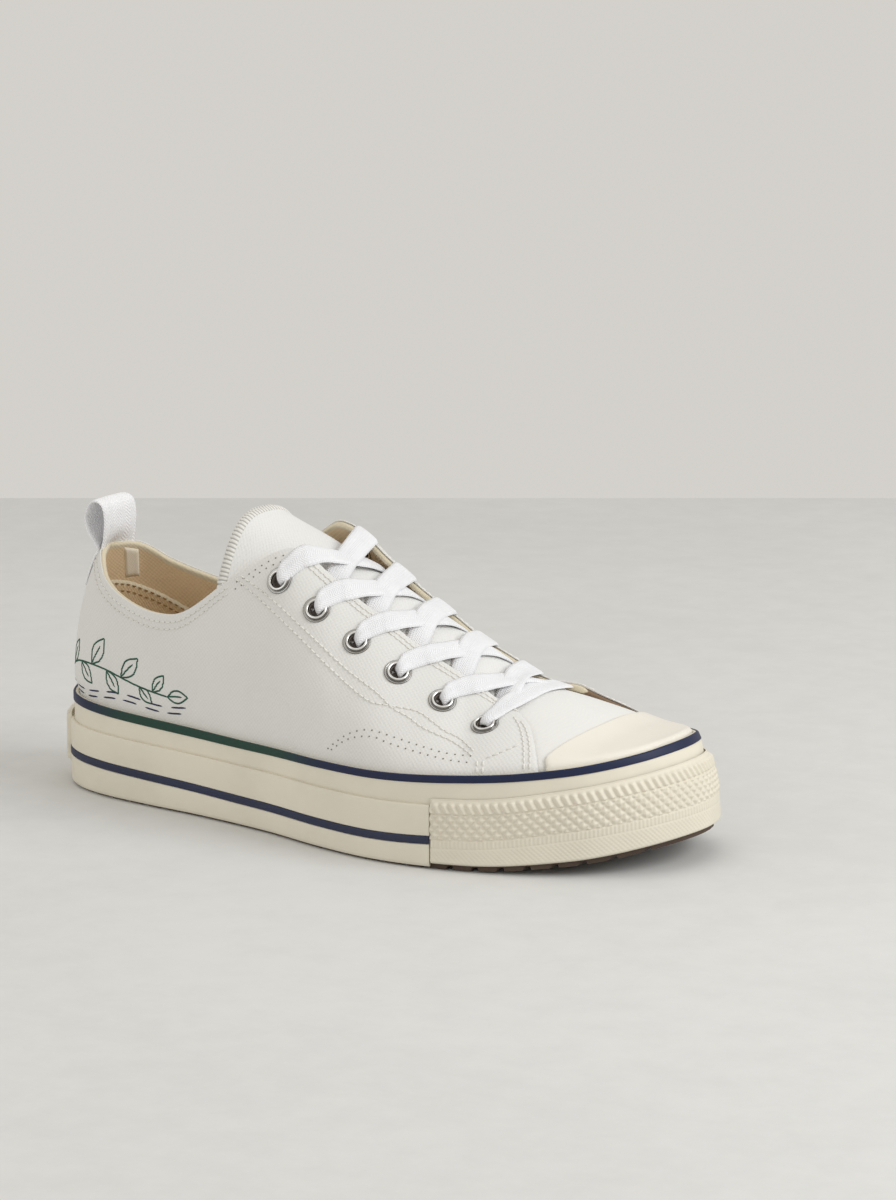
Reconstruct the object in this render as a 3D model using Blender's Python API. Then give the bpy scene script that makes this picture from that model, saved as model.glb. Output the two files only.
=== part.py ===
"""Low canvas sneaker for the right foot, built as separate solids at real size.

Axes: +X towards the toe, +Y towards the wearer's left (the inner side), +Z up.
The origin is on the floor, in the middle of the bounding box.
Sizes are in millimetres and are turned into metres when a mesh is made.
"""
import bisect
import math

import bmesh
import bpy
import numpy as np
from mathutils import Matrix, Vector
from mathutils.bvhtree import BVHTree

# Driving sizes
LENGTH = 270.0
BALL = 100.0
FOXING = 36.0
HEEL_TOP = 90.0
INSTEP = 110.0
CLEAR = 0.3

# Rubber side: thickness of each layer and how far it stands in from the outline
TAPE_T = 1.2
WALL_T = 1.7
STRIPE_T = 0.6
STRIPE_PROUD = 0.4
LOW_STRIPE_PROUD = 0.2
LOW_STRIPE_T = 0.5
TOP_STRIPE_H = 3.3
LOW_STRIPE_H = 3.0
BUMPER_PROUD = 0.5
BUMPER_IN = 0.85
RIB_DEPTH = 0.5
RIB_PITCH = 3.8
TOE_LEAN = 9.5
PATCH_T = 1.2
PATCH_W = 36.0
PATCH_LOW = 7.5
PATCH_HIGH = 27.0

# Sole
TREAD_T = 3.2
TREAD_GAP = 1.4
TREAD_PITCH = 9.0
TREAD_CUT = 3.0
TREAD_INSET = 1.9
RUBBER_LOW = 0.8
FLOOR_HEEL = 16.0
FLOOR_BALL = 11.0
INSOLE_T = 4.0

# Upper
LINING_T = 1.6
QUARTER_T = 1.2
SWELL_OVER = 6.0
BEND = 5.5
BEND_SPREAD = 14.0
CAP_T = 0.65
CAP_LIFT = 0.55
THROAT_HALF = 0.19 * BALL
THROAT_END = 0.237 * LENGTH
THROAT_REAR = -0.222 * LENGTH
COLLAR_BACK = 0.037 * LENGTH
COLLAR_BACK_FROM = -0.315
COLLAR_BACK_OVER = 0.130
QUARTER_FRONT = 0.339 * LENGTH
CAP_FRONT_X = 0.3352 * LENGTH
CAP_LEVEL = 0.348 * LENGTH
CAP_BOW = 4.5
SPINE_HEEL = -0.3593 * LENGTH
SPINE_TOE = 0.3259 * LENGTH

# Tongue, loop, eyelets and lace
TONGUE_T = 2.4
TONGUE_FRONT = 0.274 * LENGTH
TONGUE_TOP = -0.185 * LENGTH
LOOP_W = 0.21 * BALL
LOOP_T = 1.2
LEG_GAP = 0.5
LEG_GAP_IN = 1.7
LOOP_HUG = 0.16
LOOP_LEGS = (13.0, 7.0, 3.2, 0.5)
EYELET_R = 5.0
EYELET_HOLE_R = 2.5
EYELET_BARREL_R = 3.0
HOLE_GAP = 0.45
EYELET_ROW = 0.146 * BALL
EYELET_ALONG = (-0.0844, -0.0233, 0.0389, 0.1019, 0.1685, 0.2333)
EYELET_X = tuple(share * LENGTH for share in EYELET_ALONG)
LACE_W = 8.0
LACE_T = 1.0
LACE_LIFT = 1.35
LACE_REACH = 6.0
LACE_DIVE = 3.2
LACE_AHEAD = 6.0
LACE_BEHIND = 2.0
LACE_BAR_AHEAD = 1.8
LACE_HUMP_OVER = 12.0
LACE_EASE = 5.0
LACE_SHORT = 4.5
LACE_SINK = 0.25
LACE_STEPS = (0.0, 0.13, 0.27, 0.42, 0.58, 0.73, 0.87, 1.0)

# Where the layers lie, in from the outline
TAPE_IN = TAPE_T
WALL_OUT = TAPE_IN + CLEAR
WALL_IN = WALL_OUT + WALL_T
STRIPE_OUT = WALL_OUT - STRIPE_PROUD
STRIPE_IN = STRIPE_OUT + STRIPE_T
RECESS = STRIPE_IN + CLEAR
QUARTER_OUT = WALL_IN + CLEAR
BASE = QUARTER_OUT + QUARTER_T
INSOLE_IN = BASE + LINING_T + CLEAR
BUMPER_X = 0.2019 * LENGTH

# Plan of the sole: share of LENGTH from the heel, then outer and inner half width as shares of BALL
PLAN = (
    (0.012, 0.090, 0.090),
    (0.035, 0.198, 0.200),
    (0.070, 0.270, 0.275),
    (0.120, 0.318, 0.320),
    (0.200, 0.352, 0.345),
    (0.300, 0.382, 0.340),
    (0.420, 0.442, 0.335),
    (0.520, 0.518, 0.355),
    (0.600, 0.558, 0.400),
    (0.680, 0.558, 0.440),
    (0.760, 0.518, 0.468),
    (0.840, 0.445, 0.450),
    (0.900, 0.365, 0.400),
    (0.950, 0.255, 0.322),
    (0.983, 0.130, 0.222),
)
TOE_TIP = 0.050

# Heights along the rubber side: share of LENGTH, then shares of FOXING
SIDE = (
    # along, underside, lower stripe, step, top stripe, toe band
    (0.00, 0.015, 0.405, 0.690, 0.995, 0.700),
    (0.05, 0.000, 0.398, 0.683, 0.980, 0.700),
    (0.20, 0.000, 0.367, 0.658, 0.936, 0.700),
    (0.40, 0.000, 0.322, 0.630, 0.892, 0.700),
    (0.60, 0.000, 0.314, 0.628, 0.905, 0.695),
    (0.75, 0.010, 0.361, 0.661, 0.967, 0.731),
    (0.88, 0.105, 0.458, 0.747, 1.072, 0.869),
    (1.00, 0.289, 0.636, 0.917, 1.219, 1.033),
)

# Body of the upper: share of LENGTH, the ridge's height in shares of HEEL_TOP and of INSTEP, roundness
BODY = (
    (0.000, 1.137, 0.000, 2.20),
    (0.070, 1.179, 0.000, 2.25),
    (0.150, 1.222, 0.000, 2.60),
    (0.250, 0.620, 0.518, 2.90),
    (0.340, 0.000, 1.020, 2.80),
    (0.416, 0.000, 0.979, 2.70),
    (0.477, 0.000, 0.885, 2.30),
    (0.539, 0.000, 0.806, 1.80),
    (0.600, 0.000, 0.723, 1.58),
    (0.668, 0.000, 0.632, 1.36),
    (0.733, 0.000, 0.504, 1.32),
    (0.780, 0.000, 0.478, 1.60),
    (0.830, 0.000, 0.445, 1.75),
    (0.890, 0.000, 0.396, 1.85),
    (0.960, 0.000, 0.388, 2.00),
    (1.000, 0.000, 0.388, 2.00),
)

# How far the upper swells beyond its foot: share of LENGTH, then outer and inner as shares of BALL
SWELL = (
    (0.00, 0.020, 0.020),
    (0.06, 0.016, 0.018),
    (0.15, 0.008, 0.020),
    (0.30, 0.002, 0.050),
    (0.42, 0.000, 0.080),
    (0.52, 0.000, 0.080),
    (0.60, 0.000, 0.060),
    (0.70, 0.000, 0.035),
    (0.82, 0.000, 0.000),
    (1.00, 0.000, 0.000),
)

# Collar line: share of LENGTH, then the height's shares of HEEL_TOP and of INSTEP
COLLAR = (
    (0.000, 1.010, 0.000),
    (0.065, 1.000, 0.000),
    (0.105, 0.906, 0.000),
    (0.133, 0.864, 0.000),
    (0.167, 0.830, 0.000),
    (0.196, 0.810, 0.000),
    (0.241, 0.812, 0.000),
    (0.281, 0.600, 0.222),
    (0.324, 0.350, 0.510),
    (0.380, 0.000, 0.884),
    (0.426, 0.000, 0.949),
    (0.500, 0.000, 1.064),
    (1.000, 0.000, 1.800),
)

# Middle line of the ridge and throat: share of LENGTH and share of BALL
MIDDLE = (
    (0.00, 0.000),
    (0.30, -0.020),
    (0.43, -0.030),
    (0.74, 0.020),
    (0.83, 0.045),
    (1.00, 0.060),
)

# Tongue: share of LENGTH, middle height as a share of INSTEP, fall at the throat edge, half width
# as a share of BALL
TONGUE = (
    (0.315, 1.010, 7.0, 0.258),
    (0.370, 0.955, 6.6, 0.245),
    (0.426, 0.893, 5.8, 0.250),
    (0.480, 0.826, 5.4, 0.230),
    (0.540, 0.748, 6.5, 0.200),
    (0.600, 0.668, 6.7, 0.186),
    (0.668, 0.578, 5.9, 0.172),
    (0.705, 0.520, 4.4, 0.165),
    (0.740, 0.462, 3.6, 0.155),
    (0.780, 0.425, 3.2, 0.150),
)

# Rubber tray under the insole: share of LENGTH and thickness above the underside
TRAY = (
    (0.00, FLOOR_HEEL),
    (0.25, FLOOR_HEEL),
    (0.60, FLOOR_BALL),
    (1.00, FLOOR_BALL),
)

# Free part of the pull loop: forward of the heel's top edge, above HEEL_TOP
LOOP_PATH = (
    (-3.0, 6.0),
    (-4.2, 11.0),
    (-2.4, 15.8),
    (0.6, 17.6),
    (3.8, 15.8),
    (4.8, 11.0),
    (4.4, 5.0),
)

MILLI = 0.001
LEVELS = 31
LOW_ROWS = 6
HIGH_ROWS = 2
CAP_ROWS = 6


def clear_scene():
    for item in list(bpy.data.objects):
        bpy.data.objects.remove(item, do_unlink=True)


class Curve:
    """Smooth curve through two columns of a short table; it never overshoots its points."""

    def __init__(self, table, index, scale=1.0):
        self.xs = [row[0] for row in table]
        self.ys = [row[index] * scale for row in table]
        step = [b - a for a, b in zip(self.xs, self.xs[1:])]
        slope = [(b - a) / h for a, b, h in zip(self.ys, self.ys[1:], step)]
        inner = []
        for i in range(1, len(self.xs) - 1):
            flat = slope[i - 1] * slope[i] <= 0
            left = 2 * step[i] + step[i - 1]
            right = step[i] + 2 * step[i - 1]
            inner.append(0.0 if flat else (left + right) / (left / slope[i - 1] + right / slope[i]))
        self.tangents = [slope[0]] + inner + [slope[-1]]

    def __call__(self, x):
        """Value at x millimetres along the shoe."""
        x = min(max(x / LENGTH + 0.5, self.xs[0]), self.xs[-1])
        k = min(bisect.bisect_right(self.xs, x), len(self.xs) - 1) - 1
        h = self.xs[k + 1] - self.xs[k]
        t = (x - self.xs[k]) / h
        start = self.ys[k] * (1 + 2 * t) + self.tangents[k] * h * t
        end = self.ys[k + 1] * (3 - 2 * t) - self.tangents[k + 1] * h * (1 - t)
        return start * (1 - t) ** 2 + end * t * t


underside = Curve(SIDE, 1, FOXING)
low_stripe_top = Curve(SIDE, 2, FOXING)
step_top = Curve(SIDE, 3, FOXING)
stripe_top = Curve(SIDE, 4, FOXING)
bumper_top = Curve(SIDE, 5, FOXING)
ridge_heel_z = Curve(BODY, 1, HEEL_TOP)
ridge_instep_z = Curve(BODY, 2, INSTEP)
roundness = Curve(BODY, 3)
outer_swell = Curve(SWELL, 1, BALL)
inner_swell = Curve(SWELL, 2, BALL)
collar_heel_z = Curve(COLLAR, 1, HEEL_TOP)
collar_instep_z = Curve(COLLAR, 2, INSTEP)
ridge_y = Curve(MIDDLE, 1, BALL)
tongue_top = Curve(TONGUE, 1, INSTEP)
tongue_drop = Curve(TONGUE, 2)
tongue_half = Curve(TONGUE, 3, BALL)
tray = Curve(TRAY, 1)


def share(x):
    return x / LENGTH + 0.5


def closed_curve(points, count):
    """Closed curve through points, evenly spaced."""
    points = np.asarray(points, float)
    n = len(points)
    dense = []
    for i in range(n):
        p0, p1, p2, p3 = (points[(i + k - 1) % n] for k in range(4))
        d1 = np.linalg.norm(p1 - p0) ** 0.5
        d2 = np.linalg.norm(p2 - p1) ** 0.5
        d3 = np.linalg.norm(p3 - p2) ** 0.5
        m1 = (p1 - p0) / d1 - (p2 - p0) / (d1 + d2) + (p2 - p1) / d2
        m2 = (p2 - p1) / d2 - (p3 - p1) / (d2 + d3) + (p3 - p2) / d3
        m1 = m1 * d2
        m2 = m2 * d2
        for t in np.linspace(0, 1, 40, endpoint=False):
            a = 2 * t**3 - 3 * t**2 + 1
            b = t**3 - 2 * t**2 + t
            c = -2 * t**3 + 3 * t**2
            d = t**3 - t**2
            dense.append(a * p1 + b * m1 + c * p2 + d * m2)
    dense = np.array(dense + dense[:1])
    length = np.concatenate([[0], np.cumsum(np.linalg.norm(np.diff(dense, axis=0), axis=1))])
    even = np.linspace(0, length[-1], count, endpoint=False)
    return np.stack([np.interp(even, length, dense[:, k]) for k in range(2)], axis=1)


def make_outline():
    half = LENGTH / 2
    outer = [(along * LENGTH - half, -out * BALL) for along, out, inner in PLAN]
    inner = [(along * LENGTH - half, inner * BALL) for along, out, inner in PLAN]
    ring = [(-half, 0.0)] + outer + [(half, TOE_TIP * BALL)] + inner[::-1]
    curve = closed_curve(ring, 1440)
    tangent = np.roll(curve, -3, axis=0) - np.roll(curve, 3, axis=0)
    tangent /= np.linalg.norm(tangent, axis=1)[:, None]
    normal = np.stack([tangent[:, 1], -tangent[:, 0]], axis=1)
    heel = int(np.argmin(curve[:, 0]))
    curve = np.roll(curve, -heel, axis=0)
    normal = np.roll(normal, -heel, axis=0)
    return curve, normal, int(np.argmax(curve[:, 0]))


OUTLINE, NORMALS, TOE_INDEX = make_outline()
if NORMALS[0][0] > 0:
    NORMALS = -NORMALS


def edge_point(x, side):
    """Point and outward normal of the outline at x; side -1 is the outer side, +1 the inner."""
    if side < 0:
        curve = OUTLINE[: TOE_INDEX + 1]
        normal = NORMALS[: TOE_INDEX + 1]
    else:
        curve = np.concatenate([OUTLINE[:1], OUTLINE[: TOE_INDEX - 1 : -1]])
        normal = np.concatenate([NORMALS[:1], NORMALS[: TOE_INDEX - 1 : -1]])
    xs = np.maximum.accumulate(curve[:, 0])
    x = min(max(x, xs[0]), xs[-1])
    y = np.interp(x, xs, curve[:, 1])
    nx = np.interp(x, xs, normal[:, 0])
    ny = np.interp(x, xs, normal[:, 1])
    size = math.hypot(nx, ny)
    return np.array([x, y]), np.array([nx / size, ny / size])


def lean(x, z):
    """How far the rubber at the toe leans in by height z."""
    front = min(max((share(x) - 0.80) / 0.20, 0.0), 1.0) ** 1.5
    rise = min(max((z - underside(x)) / (stripe_top(x) - underside(x)), 0.0), 1.0)
    return TOE_LEAN * front * (0.12 + 0.88 * rise ** 2.4)


def ring_point(x, side, inset, z):
    point, normal = edge_point(x, side)
    inside = point - normal * (inset + lean(x, z))
    return np.array([inside[0], inside[1], z])


def level_xs():
    """Levels from heel to toe, close together at both ends."""
    xs = [-math.cos(math.pi * k / LEVELS) * LENGTH / 2 for k in range(LEVELS + 1)]
    for target in (BUMPER_X, QUARTER_FRONT):
        nearest = min(range(len(xs)), key=lambda k: abs(xs[k] - target))
        xs[nearest] = target
    return sorted(xs + [CAP_LEVEL])


def around(xs):
    """Stations once round: heel tip, outer side, toe tip, inner side."""
    return [(x, -1) for x in xs] + [(x, 1) for x in xs[-2:0:-1]]


def material(name, colour, roughness, metallic=0.0):
    found = bpy.data.materials.get(name)
    if found:
        return found
    made = bpy.data.materials.new(name)
    made.use_nodes = True
    shader = made.node_tree.nodes["Principled BSDF"]
    shader.inputs["Base Color"].default_value = (*colour, 1.0)
    shader.inputs["Roughness"].default_value = roughness
    shader.inputs["Metallic"].default_value = metallic
    made.diffuse_color = (*colour, 1.0)
    return made


def canvas():
    return material("canvas", (0.74, 0.72, 0.68), 0.9)


def rubber():
    return material("cream_rubber", (0.72, 0.66, 0.52), 0.6)


def stripe_rubber():
    return material("stripe_rubber", (0.03, 0.05, 0.12), 0.5)


def cotton():
    return material("white_cotton", (0.88, 0.88, 0.88), 0.85)


def make_object(name, verts, faces, mat):
    """Closed mesh from points in millimetres, facing out."""
    mesh = bpy.data.meshes.new(name)
    mesh.from_pydata([tuple(c * MILLI for c in v) for v in verts], [], faces)
    work = bmesh.new()
    work.from_mesh(mesh)
    bmesh.ops.remove_doubles(work, verts=work.verts, dist=0.00001)
    bmesh.ops.triangulate(work, faces=work.faces)
    bmesh.ops.recalc_face_normals(work, faces=work.faces)
    work.to_mesh(mesh)
    work.free()
    mesh.materials.append(mat)
    made = bpy.data.objects.new(name, mesh)
    bpy.context.scene.collection.objects.link(made)
    return made


def boolean(target, tool, operation):
    """Join or cut with the exact solver and keep the result as a plain mesh."""
    tool.hide_render = True
    tool.display_type = "WIRE"
    step = target.modifiers.new("join", "BOOLEAN")
    step.operation = operation
    step.solver = "EXACT"
    step.object = tool
    graph = bpy.context.evaluated_depsgraph_get()
    mesh = bpy.data.meshes.new_from_object(target.evaluated_get(graph))
    target.modifiers.clear()
    target.data = mesh
    bpy.data.objects.remove(tool, do_unlink=True)


def ladder(count):
    """Faces across a closed ring of 2 * count stations, rung by rung."""
    faces = []
    total = 2 * count
    for i in range(count):
        left = i
        ahead = i + 1
        right = (total - i) % total
        right_ahead = total - i - 1
        if i == 0:
            faces.append((left, ahead, right_ahead))
        elif i == count - 1:
            faces.append((left, ahead, right))
        else:
            faces.append((left, ahead, right_ahead, right))
    return faces


def sweep(name, stations, corners, mat, loop):
    """Sweep a closed row of corners, each a function of x giving (inset, z), round the outline."""
    rings = []
    for x, side in stations:
        rings.append([ring_point(x, side, *corner(x)) for corner in corners])
    verts = [p for ring in rings for p in ring]
    n = len(corners)
    faces = []
    spans = len(rings) if loop else len(rings) - 1
    for i in range(spans):
        j = (i + 1) % len(rings)
        for k in range(n):
            m = (k + 1) % n
            faces.append((i * n + k, i * n + m, j * n + m, j * n + k))
    if not loop:
        faces.append(tuple(range(n)))
        faces.append(tuple((len(rings) - 1) * n + k for k in reversed(range(n))))
    return make_object(name, verts, faces, mat)


def plate(name, xs, outer_rings, mat):
    """Solid bounded by stacked rings round the outline and closed by ladders below and above."""
    stations = around(xs)
    count = len(xs) - 1
    verts = []
    faces = []
    size = len(stations)
    for ring in outer_rings:
        for x, side in stations:
            verts.append(ring_point(x, side, *ring(x)))
    for r in range(len(outer_rings) - 1):
        for i in range(size):
            j = (i + 1) % size
            faces.append((r * size + i, r * size + j, (r + 1) * size + j, (r + 1) * size + i))
    top = (len(outer_rings) - 1) * size
    for face in ladder(count):
        faces.append(face[::-1])
        faces.append(tuple(top + k for k in face))
    return make_object(name, verts, faces, mat)


def floor_height(x):
    """Top of the rubber tray under the insole."""
    return tray(x) + underside(x)


def tread_xs():
    """Levels of the tread, four to each cut across the sole."""
    xs = [-LENGTH / 2, -LENGTH / 2 + 0.6, -LENGTH / 2 + 2.5]
    cuts = []
    x = -LENGTH / 2 + 6.0
    while x < LENGTH / 2 - 9.0:
        waist = 0.36 < share(x) < 0.50
        if waist:
            xs.append(x)
        else:
            xs += [x, x + 0.5, x + TREAD_CUT - 0.5, x + TREAD_CUT]
            cuts += [x + 0.5, x + TREAD_CUT - 0.5]
        x += TREAD_PITCH
    xs += [LENGTH / 2 - 2.5, LENGTH / 2 - 0.6, LENGTH / 2]
    return xs, cuts


def make_outsole():
    xs, cuts = tread_xs()

    def low(x):
        cut = any(abs(x - c) < 0.01 for c in cuts)
        return (TREAD_INSET, underside(x) + (TREAD_GAP if cut else 0.0))

    def high(x):
        return (TREAD_INSET, underside(x) + TREAD_T)

    return plate("outsole", xs, [low, high], material("brown_rubber", (0.10, 0.06, 0.04), 0.7))


def make_sole_body():
    xs = level_xs()
    stations = around(xs)

    def wall_low(x):
        return WALL_OUT, underside(x) + TREAD_T + CLEAR

    def recess_low(x):
        return WALL_OUT, stripe_top(x) - TOP_STRIPE_H - CLEAR

    def recess_in(x):
        return RECESS, stripe_top(x) - TOP_STRIPE_H - CLEAR

    def rim_out(x):
        return RECESS, stripe_top(x) - 0.3

    outer = [wall_low, recess_low, recess_in, rim_out]
    verts = []
    for ring in outer:
        verts += [ring_point(x, side, *ring(x)) for x, side in stations]
    for high in (True, False):
        for x, side in stations:
            z = stripe_top(x) - 0.3
            inner = ring_point(x, side, WALL_IN, z)
            if not high:
                inner[2] = floor_height(inner[0])
            verts.append(inner)
    size = len(stations)
    faces = []
    for r in range(5):
        for i in range(size):
            j = (i + 1) % size
            faces.append((r * size + i, r * size + j, (r + 1) * size + j, (r + 1) * size + i))
    for face in ladder(len(xs) - 1):
        faces.append(face[::-1])
        faces.append(tuple(5 * size + k for k in face))
    return make_object("sole_body", verts, faces, rubber())


def make_foxing_tape():
    xs = [x for x in level_xs() if x < BUMPER_X - 1] + [BUMPER_X - CLEAR / 2]
    stations = [(x, -1) for x in xs[::-1]] + [(x, 1) for x in xs[1:]]

    def groove_low(x):
        return low_stripe_top(x) - LOW_STRIPE_H - CLEAR

    def groove_high(x):
        return low_stripe_top(x) + CLEAR

    groove = LOW_STRIPE_T - LOW_STRIPE_PROUD + CLEAR
    corners = [
        lambda x: (0.0, underside(x) + RUBBER_LOW),
        lambda x: (0.0, groove_low(x)),
        lambda x: (groove, groove_low(x)),
        lambda x: (groove, groove_high(x)),
        lambda x: (0.0, groove_high(x)),
        lambda x: (0.0, step_top(x)),
        lambda x: (TAPE_IN, step_top(x)),
        lambda x: (TAPE_IN, underside(x) + RUBBER_LOW),
    ]
    return sweep("foxing_tape", stations, corners, rubber(), loop=False)


def make_lower_stripe():
    xs = [x for x in level_xs() if x < BUMPER_X - 1] + [BUMPER_X - CLEAR / 2]
    stations = [(x, -1) for x in xs[::-1]] + [(x, 1) for x in xs[1:]]
    inner = LOW_STRIPE_T - LOW_STRIPE_PROUD
    corners = [
        lambda x: (-LOW_STRIPE_PROUD, low_stripe_top(x) - LOW_STRIPE_H),
        lambda x: (-LOW_STRIPE_PROUD, low_stripe_top(x)),
        lambda x: (inner, low_stripe_top(x)),
        lambda x: (inner, low_stripe_top(x) - LOW_STRIPE_H),
    ]
    return sweep("lower_stripe", stations, corners, stripe_rubber(), loop=False)


def make_top_stripe():
    corners = [
        lambda x: (STRIPE_OUT, stripe_top(x) - TOP_STRIPE_H),
        lambda x: (STRIPE_OUT, stripe_top(x)),
        lambda x: (STRIPE_IN, stripe_top(x)),
        lambda x: (STRIPE_IN, stripe_top(x) - TOP_STRIPE_H),
    ]
    return sweep("top_stripe", around(level_xs()), corners, stripe_rubber(), loop=True)


def make_toe_bumper():
    """Ribbed band round the toe; every other level stands back to leave the ribs of the upper row."""
    start = BUMPER_X + CLEAR / 2
    xs = [start]
    x = start
    while x < LENGTH / 2:
        point, normal = edge_point(x, -1)
        x += max(RIB_PITCH / 2 * abs(normal[1]), 0.15)
        xs.append(min(x, LENGTH / 2))
    if len(xs) % 2 == 0:
        xs.insert(-1, (xs[-1] + xs[-2]) / 2)
    stations = [(x, -1) for x in xs] + [(x, 1) for x in xs[-2::-1]]
    rows = []
    for i, (x, side) in enumerate(stations):
        low = underside(x) + RUBBER_LOW
        high = bumper_top(x)
        tall = high - low
        rib = -BUMPER_PROUD if i % 2 else -BUMPER_PROUD + RIB_DEPTH
        rows.append([
            ring_point(x, side, -BUMPER_PROUD + 0.1, low),
            ring_point(x, side, -BUMPER_PROUD + 0.1, low + 0.70 * tall),
            ring_point(x, side, rib, low + 0.74 * tall),
            ring_point(x, side, rib, low + 0.92 * tall),
            ring_point(x, side, 0.0, high),
            ring_point(x, side, BUMPER_IN, high),
            ring_point(x, side, BUMPER_IN, low),
        ])
    n = 7
    verts = [p for row in rows for p in row]
    faces = [tuple(range(n)), tuple((len(rows) - 1) * n + k for k in reversed(range(n)))]
    for i in range(len(rows) - 1):
        for k in range(n):
            m = (k + 1) % n
            faces.append((i * n + k, i * n + m, (i + 1) * n + m, (i + 1) * n + k))
    return make_object("toe_bumper", verts, faces, rubber())


def make_heel_patch():
    """Bare label plate on the back of the heel."""
    verts = []
    faces = []
    steps = 12
    curve = OUTLINE
    lengths = np.concatenate([[0], np.cumsum(np.linalg.norm(np.diff(curve, axis=0), axis=1))])
    for i in range(steps + 1):
        arc = PATCH_W * (i / steps - 0.5)
        arc = arc if arc >= 0 else arc + lengths[-1]
        k = int(np.argmin(abs(lengths - arc)))
        face = -CLEAR - LOW_STRIPE_PROUD
        for depth, z in ((face - PATCH_T, PATCH_LOW), (face - PATCH_T, PATCH_HIGH),
                         (face, PATCH_HIGH), (face, PATCH_LOW)):
            p = curve[k] - NORMALS[k] * depth
            verts.append((p[0], p[1], z))
    for i in range(steps):
        for k in range(4):
            m = (k + 1) % 4
            faces.append((i * 4 + k, i * 4 + m, i * 4 + 4 + m, i * 4 + 4 + k))
    faces.append((0, 1, 2, 3))
    faces.append(tuple(steps * 4 + k for k in (3, 2, 1, 0)))
    return make_object("heel_patch", verts, faces, rubber())


def foot_of_column(x, side):
    """Where the skin of the upper meets the rubber."""
    return ring_point(x, side, BASE, stripe_top(x))[:2]


def head_of_column(x):
    t = share(x)
    head = SPINE_HEEL + (SPINE_TOE - SPINE_HEEL) * t
    return np.array([head, ridge_y(head)])


def start_height(x):
    """Height from which the skin begins to round over."""
    return stripe_top(x) + CLEAR


def column_bend(x, rho):
    """Columns near the front of the quarter bow back, so that its corner is rounded."""
    near = math.exp(-(((x - QUARTER_FRONT) / BEND_SPREAD) ** 2))
    return BEND * near * math.exp(-(((rho - 0.42) / 0.15) ** 2))


def swell_of(x, side, rise):
    """Swell of the upper at a height above the start of its rounding."""
    full = outer_swell(x) if side < 0 else inner_swell(x)
    t = min(max(rise / SWELL_OVER, 0.0), 1.0)
    return full * t * t * (3 - 2 * t)


def skin(x, side, phi):
    """Point of the upper's outer skin on the column that starts at x."""
    foot = foot_of_column(x, side)
    head = head_of_column(x)
    power = roundness(x)
    c = max(math.cos(phi), 0.0)
    s = min(math.sin(phi), 1.0)
    rho = c ** (2 / power)
    plan = head + (foot - head) * rho
    plan[0] -= column_bend(x, rho)
    top = ridge_heel_z(plan[0]) + ridge_instep_z(plan[0])
    low = start_height(x)
    z = low + (top - low) * s ** (2 / power)
    plan = plan + swell_of(x, side, z - low) * rho * (foot - head) / np.linalg.norm(foot - head)
    return np.array([plan[0], plan[1], z])


def soft_max(a, b, k):
    h = max(k - abs(a - b), 0.0) / k
    return max(a, b) + h * h * k / 4


def quarter_cut(p):
    """Positive where the collar and the throat are open, for the two quarters."""
    x, y, z = p
    x_on_line = x
    if y > ridge_y(x):
        x_on_line += COLLAR_BACK * min(max((x / LENGTH - COLLAR_BACK_FROM) / COLLAR_BACK_OVER, 0.0), 1.0)
    collar = z - (collar_heel_z(x_on_line) + collar_instep_z(x_on_line))
    throat = min(THROAT_HALF - abs(y - ridge_y(x)), x - THROAT_REAR)
    return soft_max(collar, throat, 6.0)


def vamp_cut(p):
    """Positive behind the straight rear edge of the vamp."""
    return THROAT_END - p[0]


def cap_cut(p):
    """Positive behind the rear edge of the toe cap, which bows forward in the middle."""
    off = (p[1] - ridge_y(p[0])) / (BALL * 0.4)
    return CAP_FRONT_X + CAP_BOW * max(1 - off * off, 0.0) - p[0]


def stop_angle(x, side, rule):
    """First angle at which a rule turns positive on the way up a column, or a right angle."""
    grid = np.linspace(0.0, math.pi / 2, 91)
    previous = 0.0
    for phi in grid[1:]:
        if rule(skin(x, side, phi)) > 0:
            low = previous
            high = phi
            for _ in range(18):
                mid = (low + high) / 2
                if rule(skin(x, side, mid)) > 0:
                    high = mid
                else:
                    low = mid
            return low
        previous = phi
    return math.pi / 2


def skin_column(x, side, low, angles):
    """Skin points of one column, from the bottom of the skirt up."""
    foot = foot_of_column(x, side)
    return [np.array([foot[0], foot[1], low])] + [skin(x, side, phi) for phi in angles]


def grid_directions(grid, loop):
    """Outward directions at the grid points, from the faces round each."""
    verts = []
    index = []
    seen = {}
    for points in grid:
        row = []
        for p in points:
            key = tuple(np.round(p, 3))
            if key not in seen:
                seen[key] = len(verts)
                verts.append(p)
            row.append(seen[key])
        index.append(row)
    verts = np.array(verts)
    total = np.zeros((len(verts), 3))
    spans = len(grid) if loop else len(grid) - 1
    for i in range(spans):
        j = (i + 1) % len(grid)
        for k in range(len(grid[0]) - 1):
            a, b, c, d = index[i][k], index[i][k + 1], index[j][k + 1], index[j][k]
            n = np.cross(verts[c] - verts[a], verts[b] - verts[d])
            for v in {a, b, c, d}:
                total[v] += n
    middle = np.array([0.0, 0.0, 40.0])
    flip = 1.0 if (total * (verts - middle)).sum() > 0 else -1.0
    total = flip * total / np.maximum(np.linalg.norm(total, axis=1)[:, None], 1e-9)
    return verts, total, index


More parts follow.
